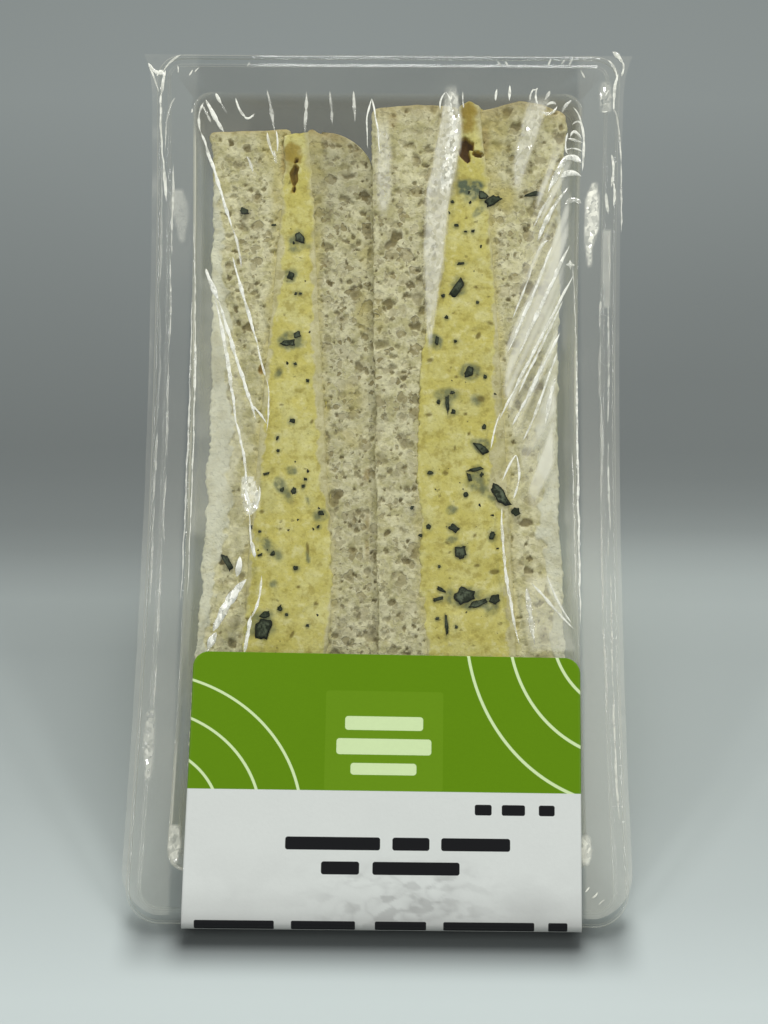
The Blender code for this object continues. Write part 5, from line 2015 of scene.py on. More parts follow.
@dataclass
class BreadSlice:
    """A triangle of white bread, with its open crumb carved into the cut face."""

    name: str
    node: str
    half: Half
    role: Role
    seed: int
    tone: float
    top_drops: tuple[float, ...]
    porous: tuple[tuple[float, float], ...]
    smears: tuple[Spot, ...] = ()
    soaked: tuple[Spot, ...] = ()
    # Spots of painted shade, darkening the crumb
    painted_shade: tuple[Spot, ...] = ()
    pressed_width: tuple[tuple[float, float], ...] = ()
    crusted: float = 0.00045
    pores: tuple[PoreSize, ...] = (
        PoreSize(5.0, 0.00052, 0.00105, 0.00045),
        PoreSize(17.0, 0.00030, 0.00054, 0.00038),
        PoreSize(26.0, 0.00018, 0.00030, 0.00026),
        PoreSize(0.8, 0.00080, 0.00135, 0.00045),
    )

    def faces(self) -> tuple[Face, Face]:
        """The slice's two faces as functions of v and d, the one at lower x first."""
        half = self.half
        outer = self.role is Role.OUTER
        towards = half.side if outer else -half.side
        inner_round = half.outer_rounds[1] if outer else half.inner_rounds[0]

        def to_filling(v: Array, d: Array) -> Array:
            edge = half.filling_half(v, d) + PACK.gap / 2 + half.rounded_top(v, inner_round)
            return half.filling_middle(v) + towards * edge

        def away(v: Array, d: Array) -> Array:
            if outer:
                return half.outer_face(v, d) - half.side * half.rounded_top(v, half.outer_rounds[0])
            return half.seam(v) + half.side * (PACK.gap / 2 + half.rounded_top(v, half.inner_rounds[1]))

        return (away, to_filling) if towards < 0 else (to_filling, away)

    def layer(self) -> Layer:
        """The slice's layer: ragged where its edge shows, and lapped under the half in front at the seam."""
        low, high = self.faces()
        if self.role is Role.OUTER:
            stray = (0.00075, 0.00012) if self.half.side < 0 else (0.00012, 0.00065)
            lap = (0.0, 0.0)
        elif self.half.side < 0:
            stray, lap = (0.00012, 0.00012), (0.0, 0.00060)
        else:
            stray, lap = (0.00055, 0.00012), (0.0, 0.0)
        return Layer(self.half, low, high, self.seed, stray, lap, self.top_drops)

    def carve(self, points: Array) -> tuple[Array, Array]:
        """Strews pores over the cut face.

        Args:
            points: The cut face's points.

        Returns:
            The depth of the pores and the painted shade in them, at each point.
        """
        draw = np.random.default_rng(self.seed)
        rough = SoftNoise(self.seed + 1)
        flat = points[:, :2]
        tree = KDTree(len(flat))
        for number, (x, v) in enumerate(flat):
            tree.insert((x, v, 0.0), number)
        tree.balance()
        low, high = flat.min(0), flat.max(0)
        area = float(np.prod(high - low)) * 10000
        heights, shares = zip(*self.porous)
        deep = np.zeros(len(flat))
        painted_pore_shade = np.zeros(len(flat))
        for size in self.pores:
            for _ in range(int(size.density * area)):
                centre = draw.uniform(low, high)
                radius = draw.uniform(size.small, size.large)
                stretch = draw.uniform(1.0, 1.9)
                turn = draw.uniform(0, math.pi)
                tone = 0.15 + 0.85 * draw.uniform() ** 1.3
                blunt = draw.uniform(1.1, 4.0)
                if draw.uniform() > np.interp(centre[1] * 1000, heights, shares):
                    continue
                near = [number for _, number, _ in tree.find_range((*centre, 0.0), radius * stretch * 1.25)]
                if not near:
                    continue
                away = flat[near] - centre
                along = (away[:, 0] * math.cos(turn) + away[:, 1] * math.sin(turn)) / (radius * stretch)
                beside = (away[:, 1] * math.cos(turn) - away[:, 0] * math.sin(turn)) / radius
                ragged = 0.42 * rough(flat[near][:, 0] / (radius * 0.8), flat[near][:, 1] / (radius * 0.8))
                out = (np.abs(along) ** blunt + np.abs(beside) ** blunt) ** (1 / blunt)
                inside = np.clip(1 - out - ragged, 0, 1)
                deep[near] = np.maximum(deep[near], size.deep * tone * np.minimum(1, inside * 2.4))
                painted_pore_shade[near] = np.maximum(painted_pore_shade[near], tone * smooth(inside * 3.4))
        return deep, painted_pore_shade

    def pressed(self, points: Array, outer_away: Array) -> Array:
        """Where the outer face is pressed white and smooth, along the outer edge of the cut."""
        if not self.pressed_width:
            return np.zeros(len(points))
        v = points[:, 1]
        heights, widths = zip(*self.pressed_width)
        width = np.interp(v * 1000, heights, widths) / 1000
        noise = SoftNoise(self.seed + 3)
        ragged = 0.0013 * noise.layers(points[:, 0], v, 0.0060, 2)
        ragged = ragged + 0.0008 * noise(outer_away / 0.0011, v / 0.0014, 3.0)
        return smooth((width - outer_away + ragged) / 0.0005 + 0.5) * (width > 0.0004)

    def build(self) -> Piece:
        """Builds the slice.

        Returns:
            The slice, which stands for its CAD node.
        """
        layer = self.layer()
        shape, cut, sides, ends = layer.shape()
        front = len(cut)
        behind = shape.marks.pop("behind")
        grid = cut.reshape(layer.tall_steps + 1, layer.wide_steps + 1, 3)
        outer_edge = grid[:, :1, 0] if self.half.side < 0 else grid[:, -1:, 0]
        pressed = self.pressed(cut, np.abs(grid[:, :, 0] - outer_edge).ravel())
        deep, painted_pore_shade = self.carve(cut)
        open_crumb = smooth(np.minimum(sides, ends) / 0.0005) * (1 - 0.85 * pressed)
        noise = SoftNoise(self.seed + 5)
        x, v = cut[:, 0].copy(), cut[:, 1].copy()
        creased = (0.00018 + 0.00010 * noise.layers(x, v, 0.0024, 3)) * pressed
        lumps = 0.00022 * noise.layers(x, v, 0.0058, 2) + creased
        grain = 0.00010 * noise.layers(x, v, 0.0011, 2) * open_crumb
        cut[:, 2] -= deep * open_crumb + layer.rounding(sides, ends) - lumps - grain + 0.00012
        names = ("pore_shade", "open", "pressed", "smear", "soaked", "painted_shade", "crust")
        marks = {name: np.zeros(len(shape.points)) for name in names}
        marks["open"][:] = 0.4
        marks["open"][:front] = np.interp(v * 1000, *zip(*self.porous)) * (1 - pressed)
        # Painted shade in the carved pores
        marks["pore_shade"][:front] = painted_pore_shade * open_crumb
        marks["pressed"][:front] = pressed
        ragged = noise.layers(x, v, 0.0030, 3)
        filling_low = (self.role is Role.OUTER) == (self.half.side > 0)
        filling_edge = grid[:, :1, 0] if filling_low else grid[:, -1:, 0]
        beside = np.abs(grid[:, :, 0] - filling_edge).ravel()
        reach = np.interp(v, (0.130, 0.150), (0.0022, 0.0044))
        marks["smear"][:front] = 0.60 * smooth((reach - beside + 0.0012 * ragged) / 0.0022)
        for mark, spots in (("smear", self.smears), ("soaked", self.soaked), ("painted_shade", self.painted_shade)):
            for spot in spots:
                marks[mark][:front] = np.maximum(marks[mark][:front], spot.cover(x, v, ragged))
        back = shape.points[front:]
        spread = np.array([layer.spread(b) for b in layer.depths()])
        rim = np.repeat(spread, len(back) // len(spread)) - np.abs(back[:, 1] - self.half.centre_v)
        baked = np.exp(-np.maximum(rim, 0) / 0.0010)
        marks["crust"][front:] = baked * (0.45 + 0.55 * smooth(behind[front:] / 0.006))
        marks["crust"][:front] = 0.75 * np.exp(-ends / self.crusted) * (v > self.half.centre_v)
        if self.role is Role.OUTER:
            outer = np.abs(back[:, 0] - self.half.outer_face(back[:, 1], -back[:, 2])) < 0.0012
            marks["pressed"][front:] = 0.45 * outer
        shape.marks = marks
        mesh = shape.mesh(self.name)
        weld(mesh)
        made = STAND.piece(self.name, mesh, CrumbFinish(f"crumb_{self.name}", self.tone).material())
        settle(made, Slot.BREAD, self.node)
        return made


@dataclass
class Filling:
    """A layer of egg salad between two slices, pressed a little over their edges at the cut."""

    name: str
    node: str
    half: Half
    seed: int
    sunk: tuple[Herb, ...]
    chips: tuple[Herb, ...]
    olives: tuple[Herb, ...]
    holes: tuple[Spot, ...]
    top_drops: tuple[float, ...]
    lap: float = 0.0017
    lump_height: float = 0.00022

    def layer(self, fine: bool = True) -> Layer:
        """The filling's layer.

        Args:
            fine: Whether it has its full number of points.

        Returns:
            The layer.
        """
        half = self.half

        def face(sign: int) -> Face:
            return lambda v, d: half.filling_middle(v) + sign * (half.filling_half(v, d) - PACK.gap / 2)

        steps = {"tall_steps": 520, "wide_steps": 62} if fine else {"tall_steps": 90, "wide_steps": 10}
        lap = (self.lap, self.lap) if fine else (0.0, 0.0)
        return Layer(half, face(-1), face(1), self.seed, (0.0, 0.0), lap, self.top_drops,
                     inset=half.filling_inset, inset_at_cut=0.0004, back_turn=62.0, **steps)

    def relief(self, points: Array) -> Array:
        """Height of the lumps, dents and holes of the cut face."""
        noise = SoftNoise(self.seed + 2)
        x, v = points[:, 0], points[:, 1]
        lumps = noise.layers(x, v, 0.0062, 3)
        dents = smooth((noise(x / 0.0028, v / 0.0028, 4.0) - 0.30) / 0.5)
        deep = smooth((self.hollow(x, v) - 0.45) / 0.40)
        return 0.00014 + self.lump_height * lumps - 0.00012 * dents - 0.0014 * deep

    def hollow(self, x: Array, v: Array) -> Array:
        """Where the holes are, 0 to 1."""
        ragged = 1.9 * SoftNoise(self.seed + 4).layers(x, v, 0.0016, 3)
        cover = np.zeros(x.shape)
        for hole in self.holes:
            cover = np.maximum(cover, hole.cover(x, v, ragged))
        return cover

    def build(self, finish: Material) -> Piece:
        """Builds the filling.

        Args:
            finish: Its egg salad.

        Returns:
            The filling, which stands for its CAD node.
        """
        layer = self.layer()
        shape, cut, sides, ends = layer.shape()
        front = len(cut)
        shape.marks.pop("behind")
        x, v = cut[:, 0].copy(), cut[:, 1].copy()
        noise = SoftNoise(self.seed + 6)
        heights, low, high = (np.array(part) / 1000 for part in zip(*self.half.shown))
        stray = 0.00050 * noise(x / 0.0048, v / 0.0048) + 0.00050 * noise(x / 0.0020, v / 0.0018, 3.0)
        stray = stray + 0.00035 * noise(x / 0.0009, v / 0.0008, 6.0)
        inside = np.minimum(x - np.interp(v, heights, low), np.interp(v, heights, high) - x) + stray
        fade = np.interp(v, (0.126, 0.150), (0.00040, 0.00160))
        over = smooth((self.lap - sides - 0.0004) / 0.0009)
        sunk = 0.0011 * over * (1 - smooth((inside + 0.5 * fade + 0.0002) / 0.0008))
        cut[:, 2] += self.relief(cut) - sunk - layer.rounding(np.full(front, 1.0), ends)
        marks = {name: np.zeros(len(shape.points)) for name in ("pit", "sunk", "olive", "crumb")}
        marks["crumb"][:front] = 1 - smooth(inside / fade + 0.5)
        # The pit mark paints shade in the holes; the filling's other faces get a faint amber tint from it
        marks["pit"][:] = 0.12
        marks["pit"][:front] = self.hollow(x, v)
        ragged = noise.layers(x, v, 0.0020, 2)
        halos = [Herb(chip.x, chip.v, chip.long + 0.7, chip.wide + 0.7, chip.turn) for chip in self.chips]
        for mark, herbs, strength in (("sunk", self.sunk, 0.80), ("sunk", halos, 0.44),
                                      ("olive", self.olives, 0.85)):
            for herb in herbs:
                cover = strength * (0.7 + max(0.3, herb.pale)) * herb.cover(x, v, ragged)
                marks[mark][:front] = np.maximum(marks[mark][:front], cover)
        shape.marks = marks
        mesh = shape.mesh(self.name)
        weld(mesh)
        made = STAND.piece(self.name, mesh, finish)
        settle(made, Slot.EGG, self.node)
        return made

    def specks(self, tree: Group, finish: Material) -> Piece:
        """Strews fine herb specks over the cut face.

        Args:
            tree: The strewing tree.
            finish: The herbs' material.

        Returns:
            The specks as one piece.
        """
        layer = self.layer(fine=False)
        rows, columns = layer.tall_steps + 1, layer.wide_steps + 1
        steps = np.linspace(-0.97, 0.86, rows), np.linspace(0.04, 0.96, columns)
        points = layer.spots(*np.meshgrid(*steps, indexing="ij"), 0.0).reshape(-1, 3)
        points[:, 2] += self.relief(points)
        faces = sheet_faces(rows, columns)
        mesh = Shape(points, faces).mesh(f"{self.name}_surface")
        values = {"Density": 26000.0, "Size": 0.00062, "Flatness": 0.5, "Seed": self.seed, "Finish": finish}
        made = STAND.piece(f"{self.name}_specks", mesh, None, lambda piece: grow(piece, tree, values))
        settle(made, Slot.EGG)
        return made


@dataclass
class HerbBits:
    """The larger bits of chopped green at the cut: thin, curled chips with uneven outlines."""

    name: str
    half: Half
    herbs: tuple[Herb, ...]
    height: Callable[[Array], Array]
    seed: int
    thick: float = 0.00035
    rings: int = 3

    def chip(self, herb: Herb, draw: np.random.Generator, first: int) -> tuple[Array, list, Array]:
        """One chip: rings of an uneven outline round its middle, with an upper and an under side.

        Args:
            herb: The chip's place and size.
            draw: The random numbers.
            first: Number of its first point in the whole mesh.

        Returns:
            Its points, its faces and how far inside its rim each point lies.
        """
        corners = int(draw.integers(4, 7))
        sides = 4 * corners
        even = np.linspace(0, 2 * math.pi, corners, endpoint=False)
        turns = even + draw.uniform(-0.30, 0.30, corners) + 0.6
        reach = draw.uniform(0.85, 1.25, corners)
        corner = np.stack([reach * np.cos(turns), reach * np.sin(turns)], axis=1)
        share = np.arange(4)[None, :, None] / 4
        rim = (corner[:, None] * (1 - share) + np.roll(corner, -1, axis=0)[:, None] * share).reshape(sides, 2)
        rim = rim * draw.uniform(0.86, 1.10, (sides, 1))
        lean = math.radians(herb.turn)
        centre = np.array((herb.x, herb.v)) / 1000
        curl = draw.uniform(0.10, 0.25) / 1000
        points, inner = [], []
        for face in (1, -1):
            for ring in range(self.rings + 1):
                out = ring / self.rings
                along = herb.long / 2000 * out * rim[:, 0]
                beside = herb.wide / 2000 * out * rim[:, 1]
                x = centre[0] + along * math.cos(lean) - beside * math.sin(lean)
                v = centre[1] + along * math.sin(lean) + beside * math.cos(lean)
                bowl = curl * (np.abs(rim[:, 1]) - 0.5) * out ** 2
                w = bowl + face * self.thick / 2 * (1 - 0.5 * out ** 4)
                points.append(np.stack([x, v, w], axis=1))
                inner.append(np.full(sides, (1 - out) if face > 0 else 0.0))
        points = np.concatenate(points)
        rest = self.height(np.array([[*centre, 0.0]]))[0]
        points[:, 2] += rest + self.thick * 0.18
        number = first + np.arange(len(points)).reshape(2 * (self.rings + 1), sides)
        faces = []
        for ring in range(self.rings):
            for near, far in ((number[ring], number[ring + 1]),
                              (number[self.rings + 2 + ring], number[self.rings + 1 + ring])):
                faces += np.stack([near, far, np.roll(far, -1), np.roll(near, -1)], axis=1).tolist()
        rim, under = number[self.rings], number[2 * self.rings + 1]
        faces += np.stack([rim, under, np.roll(under, -1), np.roll(rim, -1)], axis=1).tolist()
        return points, faces, np.concatenate(inner)

    def build(self, finish: Material) -> Piece:
        """Builds all chips as one piece.

        Args:
            finish: The herbs' material.

        Returns:
            The piece.
        """
        draw = np.random.default_rng(self.seed)
        points, faces, inner, pale = [], [], [], []
        first = 0
        for herb in self.herbs:
            chip_points, chip_faces, chip_inner = self.chip(herb, draw, first)
            points.append(chip_points)
            faces += chip_faces
            inner.append(chip_inner)
            pale += [herb.pale] * len(chip_points)
            first += len(chip_points)
        marks = {"inner": np.concatenate(inner), "pale": np.array(pale)}
        mesh = Shape(np.concatenate(points), faces, marks).mesh(self.name)
        weld(mesh, reach=0.000002)
        made = STAND.piece(self.name, mesh, finish)
        settle(made, Slot.EGG)
        return made


def herbs(*rows: tuple[float, ...]) -> tuple[Herb, ...]:
    """Bits of green from rows of x, v, length, width, turn and, for some, paleness."""
    return tuple(Herb(*row) for row in rows)


LEFT_CHIPS = herbs(
    (-17.6, 135.6, 2.8, 1.9, 115, 0.7), (-19.2, 127.5, 2.5, 1.3, 80), (-18.1, 123.8, 0.7, 0.7, 0),
    (-17.2, 123.8, 0.7, 0.7, 0), (-17.7, 115.1, 2.2, 1.2, 30, 0.5), (-19.4, 113.5, 3.4, 1.3, 5, 0.9),
    (-17.9, 109.2, 0.7, 0.6, 0), (-15.3, 105.7, 1.0, 0.9, 0), (-18.2, 97.5, 1.4, 1.2, 0),
    (-21.1, 94.0, 1.0, 0.6, 70), (-20.9, 91.4, 0.7, 0.7, 0), (-23.1, 86.7, 1.5, 0.7, 20),
    (-15.3, 85.7, 0.9, 0.8, 0), (-15.7, 84.3, 0.7, 0.7, 0), (-19.9, 83.5, 1.1, 0.9, 40),
    (-17.6, 83.3, 1.5, 1.1, 80), (-12.1, 78.9, 1.4, 1.1, 10), (-12.6, 76.2, 0.7, 0.7, 0),
    (-24.1, 75.1, 0.7, 0.6, 0), (-23.8, 70.5, 1.3, 0.6, 20), (-21.4, 70.8, 1.2, 0.9, 60),
    (-16.9, 67.9, 1.0, 0.9, 0), (-22.7, 58.8, 2.3, 1.4, 15), (-19.7, 59.9, 1.1, 1.0, 0),
    (-22.9, 56.0, 4.6, 3.6, 60, 0.8), (-14.3, 56.7, 0.8, 0.7, 0), (-18.4, 58.8, 0.7, 0.6, 0),
)
LEFT_SUNK = herbs(
    (-18.1, 134.2, 4.0, 4.6, 100), (-19.2, 127.4, 2.6, 3.0, 80), (-18.8, 113.9, 5.6, 3.5, 10),
    (-21.2, 107.3, 2.8, 1.9, 60), (-20.0, 84.1, 7.7, 2.4, 125), (-18.2, 87.5, 2.8, 1.7, 0),
    (-22.2, 71.9, 6.1, 2.8, 130), (-21.2, 64.8, 2.4, 1.7, 0), (-14.8, 81.4, 2.5, 0.9, 110),
    (-14.5, 70.1, 2.5, 0.9, 100), (-16.7, 67.8, 2.2, 1.9, 0), (-23.5, 56.6, 6.0, 5.6, 60),
    (-12.0, 78.6, 3.0, 2.6, 0),
)
LEFT_OLIVES = herbs(
    (-14.3, 97.4, 1.4, 0.8, 60), (-20.4, 100.8, 0.9, 0.4, 0), (-23.8, 79.1, 1.0, 0.7, 0),
    (-16.2, 64.2, 1.1, 0.8, 0), (-12.7, 61.0, 0.8, 0.8, 0), (-26.6, 62.8, 0.9, 0.7, 0),
    (-17.2, 55.0, 1.7, 0.7, 60), (-26.2, 57.9, 1.1, 0.7, 0), (-20.1, 75.7, 0.7, 0.6, 0),
    (-14.6, 72.0, 2.8, 0.7, 100),
)
RIGHT_CHIPS = herbs(
    (19.6, 144.2, 2.4, 1.7, 150, 0.6), (21.7, 143.1, 3.6, 2.2, 20, 0.4), (13.4, 142.8, 0.7, 0.6, 0),
    (14.2, 137.8, 1.0, 0.7, 0), (17.6, 136.6, 0.8, 0.7, 0), (16.1, 136.5, 0.7, 0.4, 0),
    (15.2, 129.8, 1.7, 0.7, 10), (14.6, 124.8, 4.5, 1.9, 60, 0.5), (11.7, 123.0, 0.8, 0.8, 0),
    (18.6, 121.7, 0.7, 0.7, 0), (12.4, 118.5, 0.9, 0.8, 0), (10.5, 113.7, 3.4, 0.8, 85),
    (14.2, 113.6, 0.7, 0.6, 0), (16.8, 107.3, 2.4, 1.9, 70, 0.8), (20.1, 106.4, 1.0, 0.8, 0),
    (12.7, 100.6, 4.5, 0.8, 95), (13.9, 99.2, 1.1, 1.0, 0), (13.7, 103.1, 1.2, 0.7, 20),
    (10.9, 101.2, 1.1, 0.7, 80), (20.0, 96.2, 1.1, 0.9, 60), (19.5, 91.9, 4.1, 1.6, 140, 0.6),
    (17.1, 86.0, 2.4, 0.9, 110), (18.4, 87.6, 3.2, 0.9, 15), (19.6, 86.6, 1.2, 0.8, 60),
    (23.2, 82.6, 6.4, 2.3, 130, 1.0), (26.2, 79.1, 1.9, 1.7, 10), (16.4, 82.5, 1.1, 1.0, 20),
    (9.4, 86.9, 1.2, 0.7, 0), (9.2, 76.1, 1.4, 0.9, 120), (14.1, 75.8, 2.4, 1.7, 150),
    (21.6, 74.5, 2.0, 1.2, 80), (7.6, 74.4, 0.8, 0.7, 0), (15.4, 71.0, 2.8, 2.2, 95, 0.7),
    (11.3, 68.3, 0.7, 0.7, 0), (16.1, 62.6, 4.3, 3.5, 3, 0.8), (22.1, 62.0, 2.3, 2.1, 20, 0.4),
    (18.9, 61.1, 3.4, 1.6, 20, 0.9), (11.2, 61.9, 2.2, 1.1, 20), (11.6, 63.8, 1.9, 0.8, 150),
    (12.8, 56.8, 4.6, 0.7, 95), (14.7, 56.5, 0.8, 0.7, 0), (11.0, 58.1, 0.9, 0.7, 0),
)
RIGHT_SUNK = herbs(
    (17.3, 145.5, 5.0, 4.4, 150, 0.8), (21.3, 143.3, 4.6, 3.4, 20), (18.5, 140.6, 3.3, 1.7, 40),
    (14.9, 125.1, 3.0, 4.6, 60), (10.5, 113.7, 3.3, 2.8, 90), (16.9, 107.2, 3.7, 4.6, 80),
    (12.6, 102.1, 4.0, 5.0, 90), (18.6, 101.5, 2.6, 2.6, 0), (19.5, 92.3, 4.6, 3.0, 140),
    (18.4, 84.7, 5.6, 4.0, 150), (23.0, 82.5, 8.0, 3.6, 130), (13.8, 79.4, 2.2, 1.9, 0),
    (15.4, 71.0, 3.3, 3.3, 0), (13.9, 73.6, 3.3, 1.7, 30), (16.1, 62.2, 7.6, 4.6, 0),
    (20.9, 61.2, 4.6, 4.0, 0),
)
RIGHT_OLIVES = herbs(
    (16.2, 139.4, 0.8, 0.6, 0), (20.7, 134.5, 2.0, 1.0, 75), (22.3, 132.0, 1.0, 0.9, 0),
    (18.2, 124.9, 0.8, 0.7, 0), (21.3, 117.4, 1.9, 1.1, 150), (18.8, 114.9, 1.4, 0.8, 60),
    (9.2, 109.7, 1.5, 0.9, 10), (14.4, 106.3, 0.8, 0.7, 0), (19.2, 101.8, 1.9, 1.5, 0),
    (16.3, 98.8, 0.8, 0.7, 0), (9.0, 98.6, 1.7, 0.8, 0), (17.0, 94.8, 1.0, 0.7, 60),
    (14.2, 91.9, 1.1, 0.6, 90), (12.4, 86.9, 1.0, 0.8, 0), (18.2, 74.5, 0.9, 0.7, 40),
    (13.0, 72.8, 1.7, 0.7, 150), (18.7, 68.5, 1.3, 0.7, 10), (22.1, 67.4, 1.9, 0.9, 10),
)
SLICE_HERBS = herbs(
    (-30.3, 69.0, 4.4, 1.8, 125, 0.5), (-29.0, 141.2, 2.3, 1.6, 140), (-28.0, 68.6, 1.0, 1.6, 20),
    (-22.9, 138.2, 1.2, 0.5, 5), (-25.9, 76.0, 1.0, 0.8, 0),
)
SLICE_HERBS_RIGHT = herbs(
    (29.9, 144.5, 4.3, 1.0, 8), (5.9, 79.9, 0.9, 0.8, 40),
)


@dataclass
class Studio:
    """Camera, floor and soft lights."""

    focal_pixels: float = 1537.0
    picture_tall: float = 1024.0
    sensor: float = 36.0
    eye: tuple[float, float, float] = (0.01276, 0.03116, 0.29706)
    turn: tuple[float, float, float] = (9.135, 0.485, 0.404)
    shift_pixels: float = 50.0
    floor_tint: Colour = (0.905, 1.0, 0.970)
    # Painted shade: depth behind the pack, then the floor's colour at its left and at its right side
    floor_shade_tones: tuple[tuple[float, float, float], ...] = (
        (-0.080, 0.560, 0.566), (-0.058, 0.481, 0.475), (-0.034, 0.400, 0.424), (-0.012, 0.359, 0.404),
        (0.010, 0.317, 0.389), (0.027, 0.325, 0.401), (0.036, 0.280, 0.376), (0.045, 0.229, 0.321),
        (0.0545, 0.195, 0.245), (0.064, 0.181, 0.204), (0.0755, 0.166, 0.177), (0.087, 0.160, 0.167),
        (0.120, 0.169, 0.163), (0.162, 0.182, 0.172), (0.305, 0.231, 0.223),
    )
    strip_angle: float = math.radians(42)
    mirror_rise: float = math.radians(57)

    def camera(self) -> None:
        """Puts the camera where the photograph was taken from, given in the pack's own coordinates."""
        data = bpy.data.cameras.new("camera")
        data.sensor_fit = "VERTICAL"
        data.sensor_height = self.sensor
        data.lens = self.focal_pixels / self.picture_tall * self.sensor
        data.shift_x = -self.shift_pixels / self.picture_tall
        data.clip_start = 0.01
        made = bpy.data.objects.new("camera", data)
        bpy.context.scene.collection.objects.link(made)
        lean, swing, roll = (Matrix.Rotation(math.radians(angle), 4, axis)
                             for angle, axis in zip(self.turn, "XYZ"))
        made.matrix_world = STAND.matrix @ Matrix.Translation(self.eye) @ lean @ swing @ roll
        bpy.context.scene.camera = made

    def floor(self) -> None:
        """A pale floor with painted shade: darker in a band behind the pack, lighter again further back,
        with a painted contact shadow along the pack's lower front edge.
        """
        bm = bmesh.new()
        bmesh.ops.create_grid(bm, x_segments=24, y_segments=24, size=3.0)
        mesh = bpy.data.meshes.new("floor")
        bm.to_mesh(mesh)
        bm.free()
        made, tree = new_material("pale_floor")
        aside, deep = tree.add("ShaderNodeSeparateXYZ", {0: tree.place()}).outputs[:2]
        first, last = self.floor_shade_tones[0][0], self.floor_shade_tones[-1][0]
        along = tree.math("DIVIDE", tree.math("SUBTRACT", deep, first), last - first)
        sides = []
        for column in (1, 2):
            ramp = tree.add("ShaderNodeValToRGB", {0: along})
            stops = ramp.color_ramp.elements
            for row in self.floor_shade_tones[1:-1]:
                stops.new((row[0] - first) / (last - first))
            for stop, row in zip(stops, self.floor_shade_tones):
                stop.color = tuple(row[column] * part for part in self.floor_tint) + (1.0,)
            sides.append(ramp.outputs[0])
        colour = tree.mix(tree.span(aside, -0.06, 0.06), *sides)
        # Painted contact shadow: the floor darkens along the pack's lower front edge, most under the label,
        # less under the flange's corners
        away = tree.math("ABSOLUTE", tree.math("SUBTRACT", aside, 0.0005))
        near = tree.times(tree.span(deep, -0.0765, -0.0668), tree.span(deep, -0.0640, -0.0600, 1.0, 0.0))
        wide, close = tree.span(away, 0.0440, 0.0510, 0.42, 0.0), tree.span(away, 0.0355, 0.0420, 0.38, 0.0)
        painted_contact_shadow = tree.math("ADD", wide, close)
        left = tree.rest(tree.times(near, painted_contact_shadow))
        tree.dress(tree.shaded(colour, left), 0.85, 0.2)
        mesh.materials.append(made)
        floor = bpy.data.objects.new("floor", mesh)
        bpy.context.scene.collection.objects.link(floor)

    def light(self, name: str, place: Vector, size: tuple[float, float], watts: float, along: Vector) -> None:
        """A soft rectangular light that faces the pack.

        Args:
            name: Its name.
            place: Where it stands.
            size: Its width and length.
            watts: Its power.
            along: The direction that its length follows.
        """
        data = bpy.data.lights.new(name, "AREA")
        data.shape = "RECTANGLE"
        data.size, data.size_y = size
        data.energy = watts
        made = bpy.data.objects.new(name, data)
        bpy.context.scene.collection.objects.link(made)
        back = (place - Vector((0, 0, 0.06))).normalized()
        side = along.cross(back).normalized()
        turn = Matrix((side, back.cross(side), back)).transposed()
        made.matrix_world = Matrix.Translation(place) @ turn.to_4x4()

    def build(self) -> None:
        """Sets up the whole studio."""
        self.camera()
        self.floor()
        world = bpy.data.worlds.new("studio")
        world.use_nodes = True
        world.node_tree.nodes["Background"].inputs["Color"].default_value = (0.90, 0.96, 1.0, 1.0)
        world.node_tree.nodes["Background"].inputs["Strength"].default_value = 0.24
        bpy.context.scene.world = world
        bpy.context.scene.view_settings.view_transform = "Standard"
        self.light("overhead", Vector((0.06, 0.50, 1.00)), (0.42, 0.42), 9.5, Vector((0, 1, 0)))
        mirror = Vector((0, -math.cos(self.mirror_rise), math.sin(self.mirror_rise)))
        up = Vector((0, math.sin(self.mirror_rise), math.cos(self.mirror_rise)))
        for name, side in (("left", -1), ("right", 1)):
            aim = math.cos(self.strip_angle) * mirror + side * math.sin(self.strip_angle) * Vector((1, 0, 0))
            self.light(name, 0.85 * aim, (0.07, 0.62), 1.9, up)
        log.info("studio: camera, floor and 3 lights")


def cut_height(half: Half, lift: float) -> Callable[[Array], Array]:
    """The height of a half's cut face, for what lies on its bread."""
    return lambda points: np.full(len(points), lift - half.cut_depth)


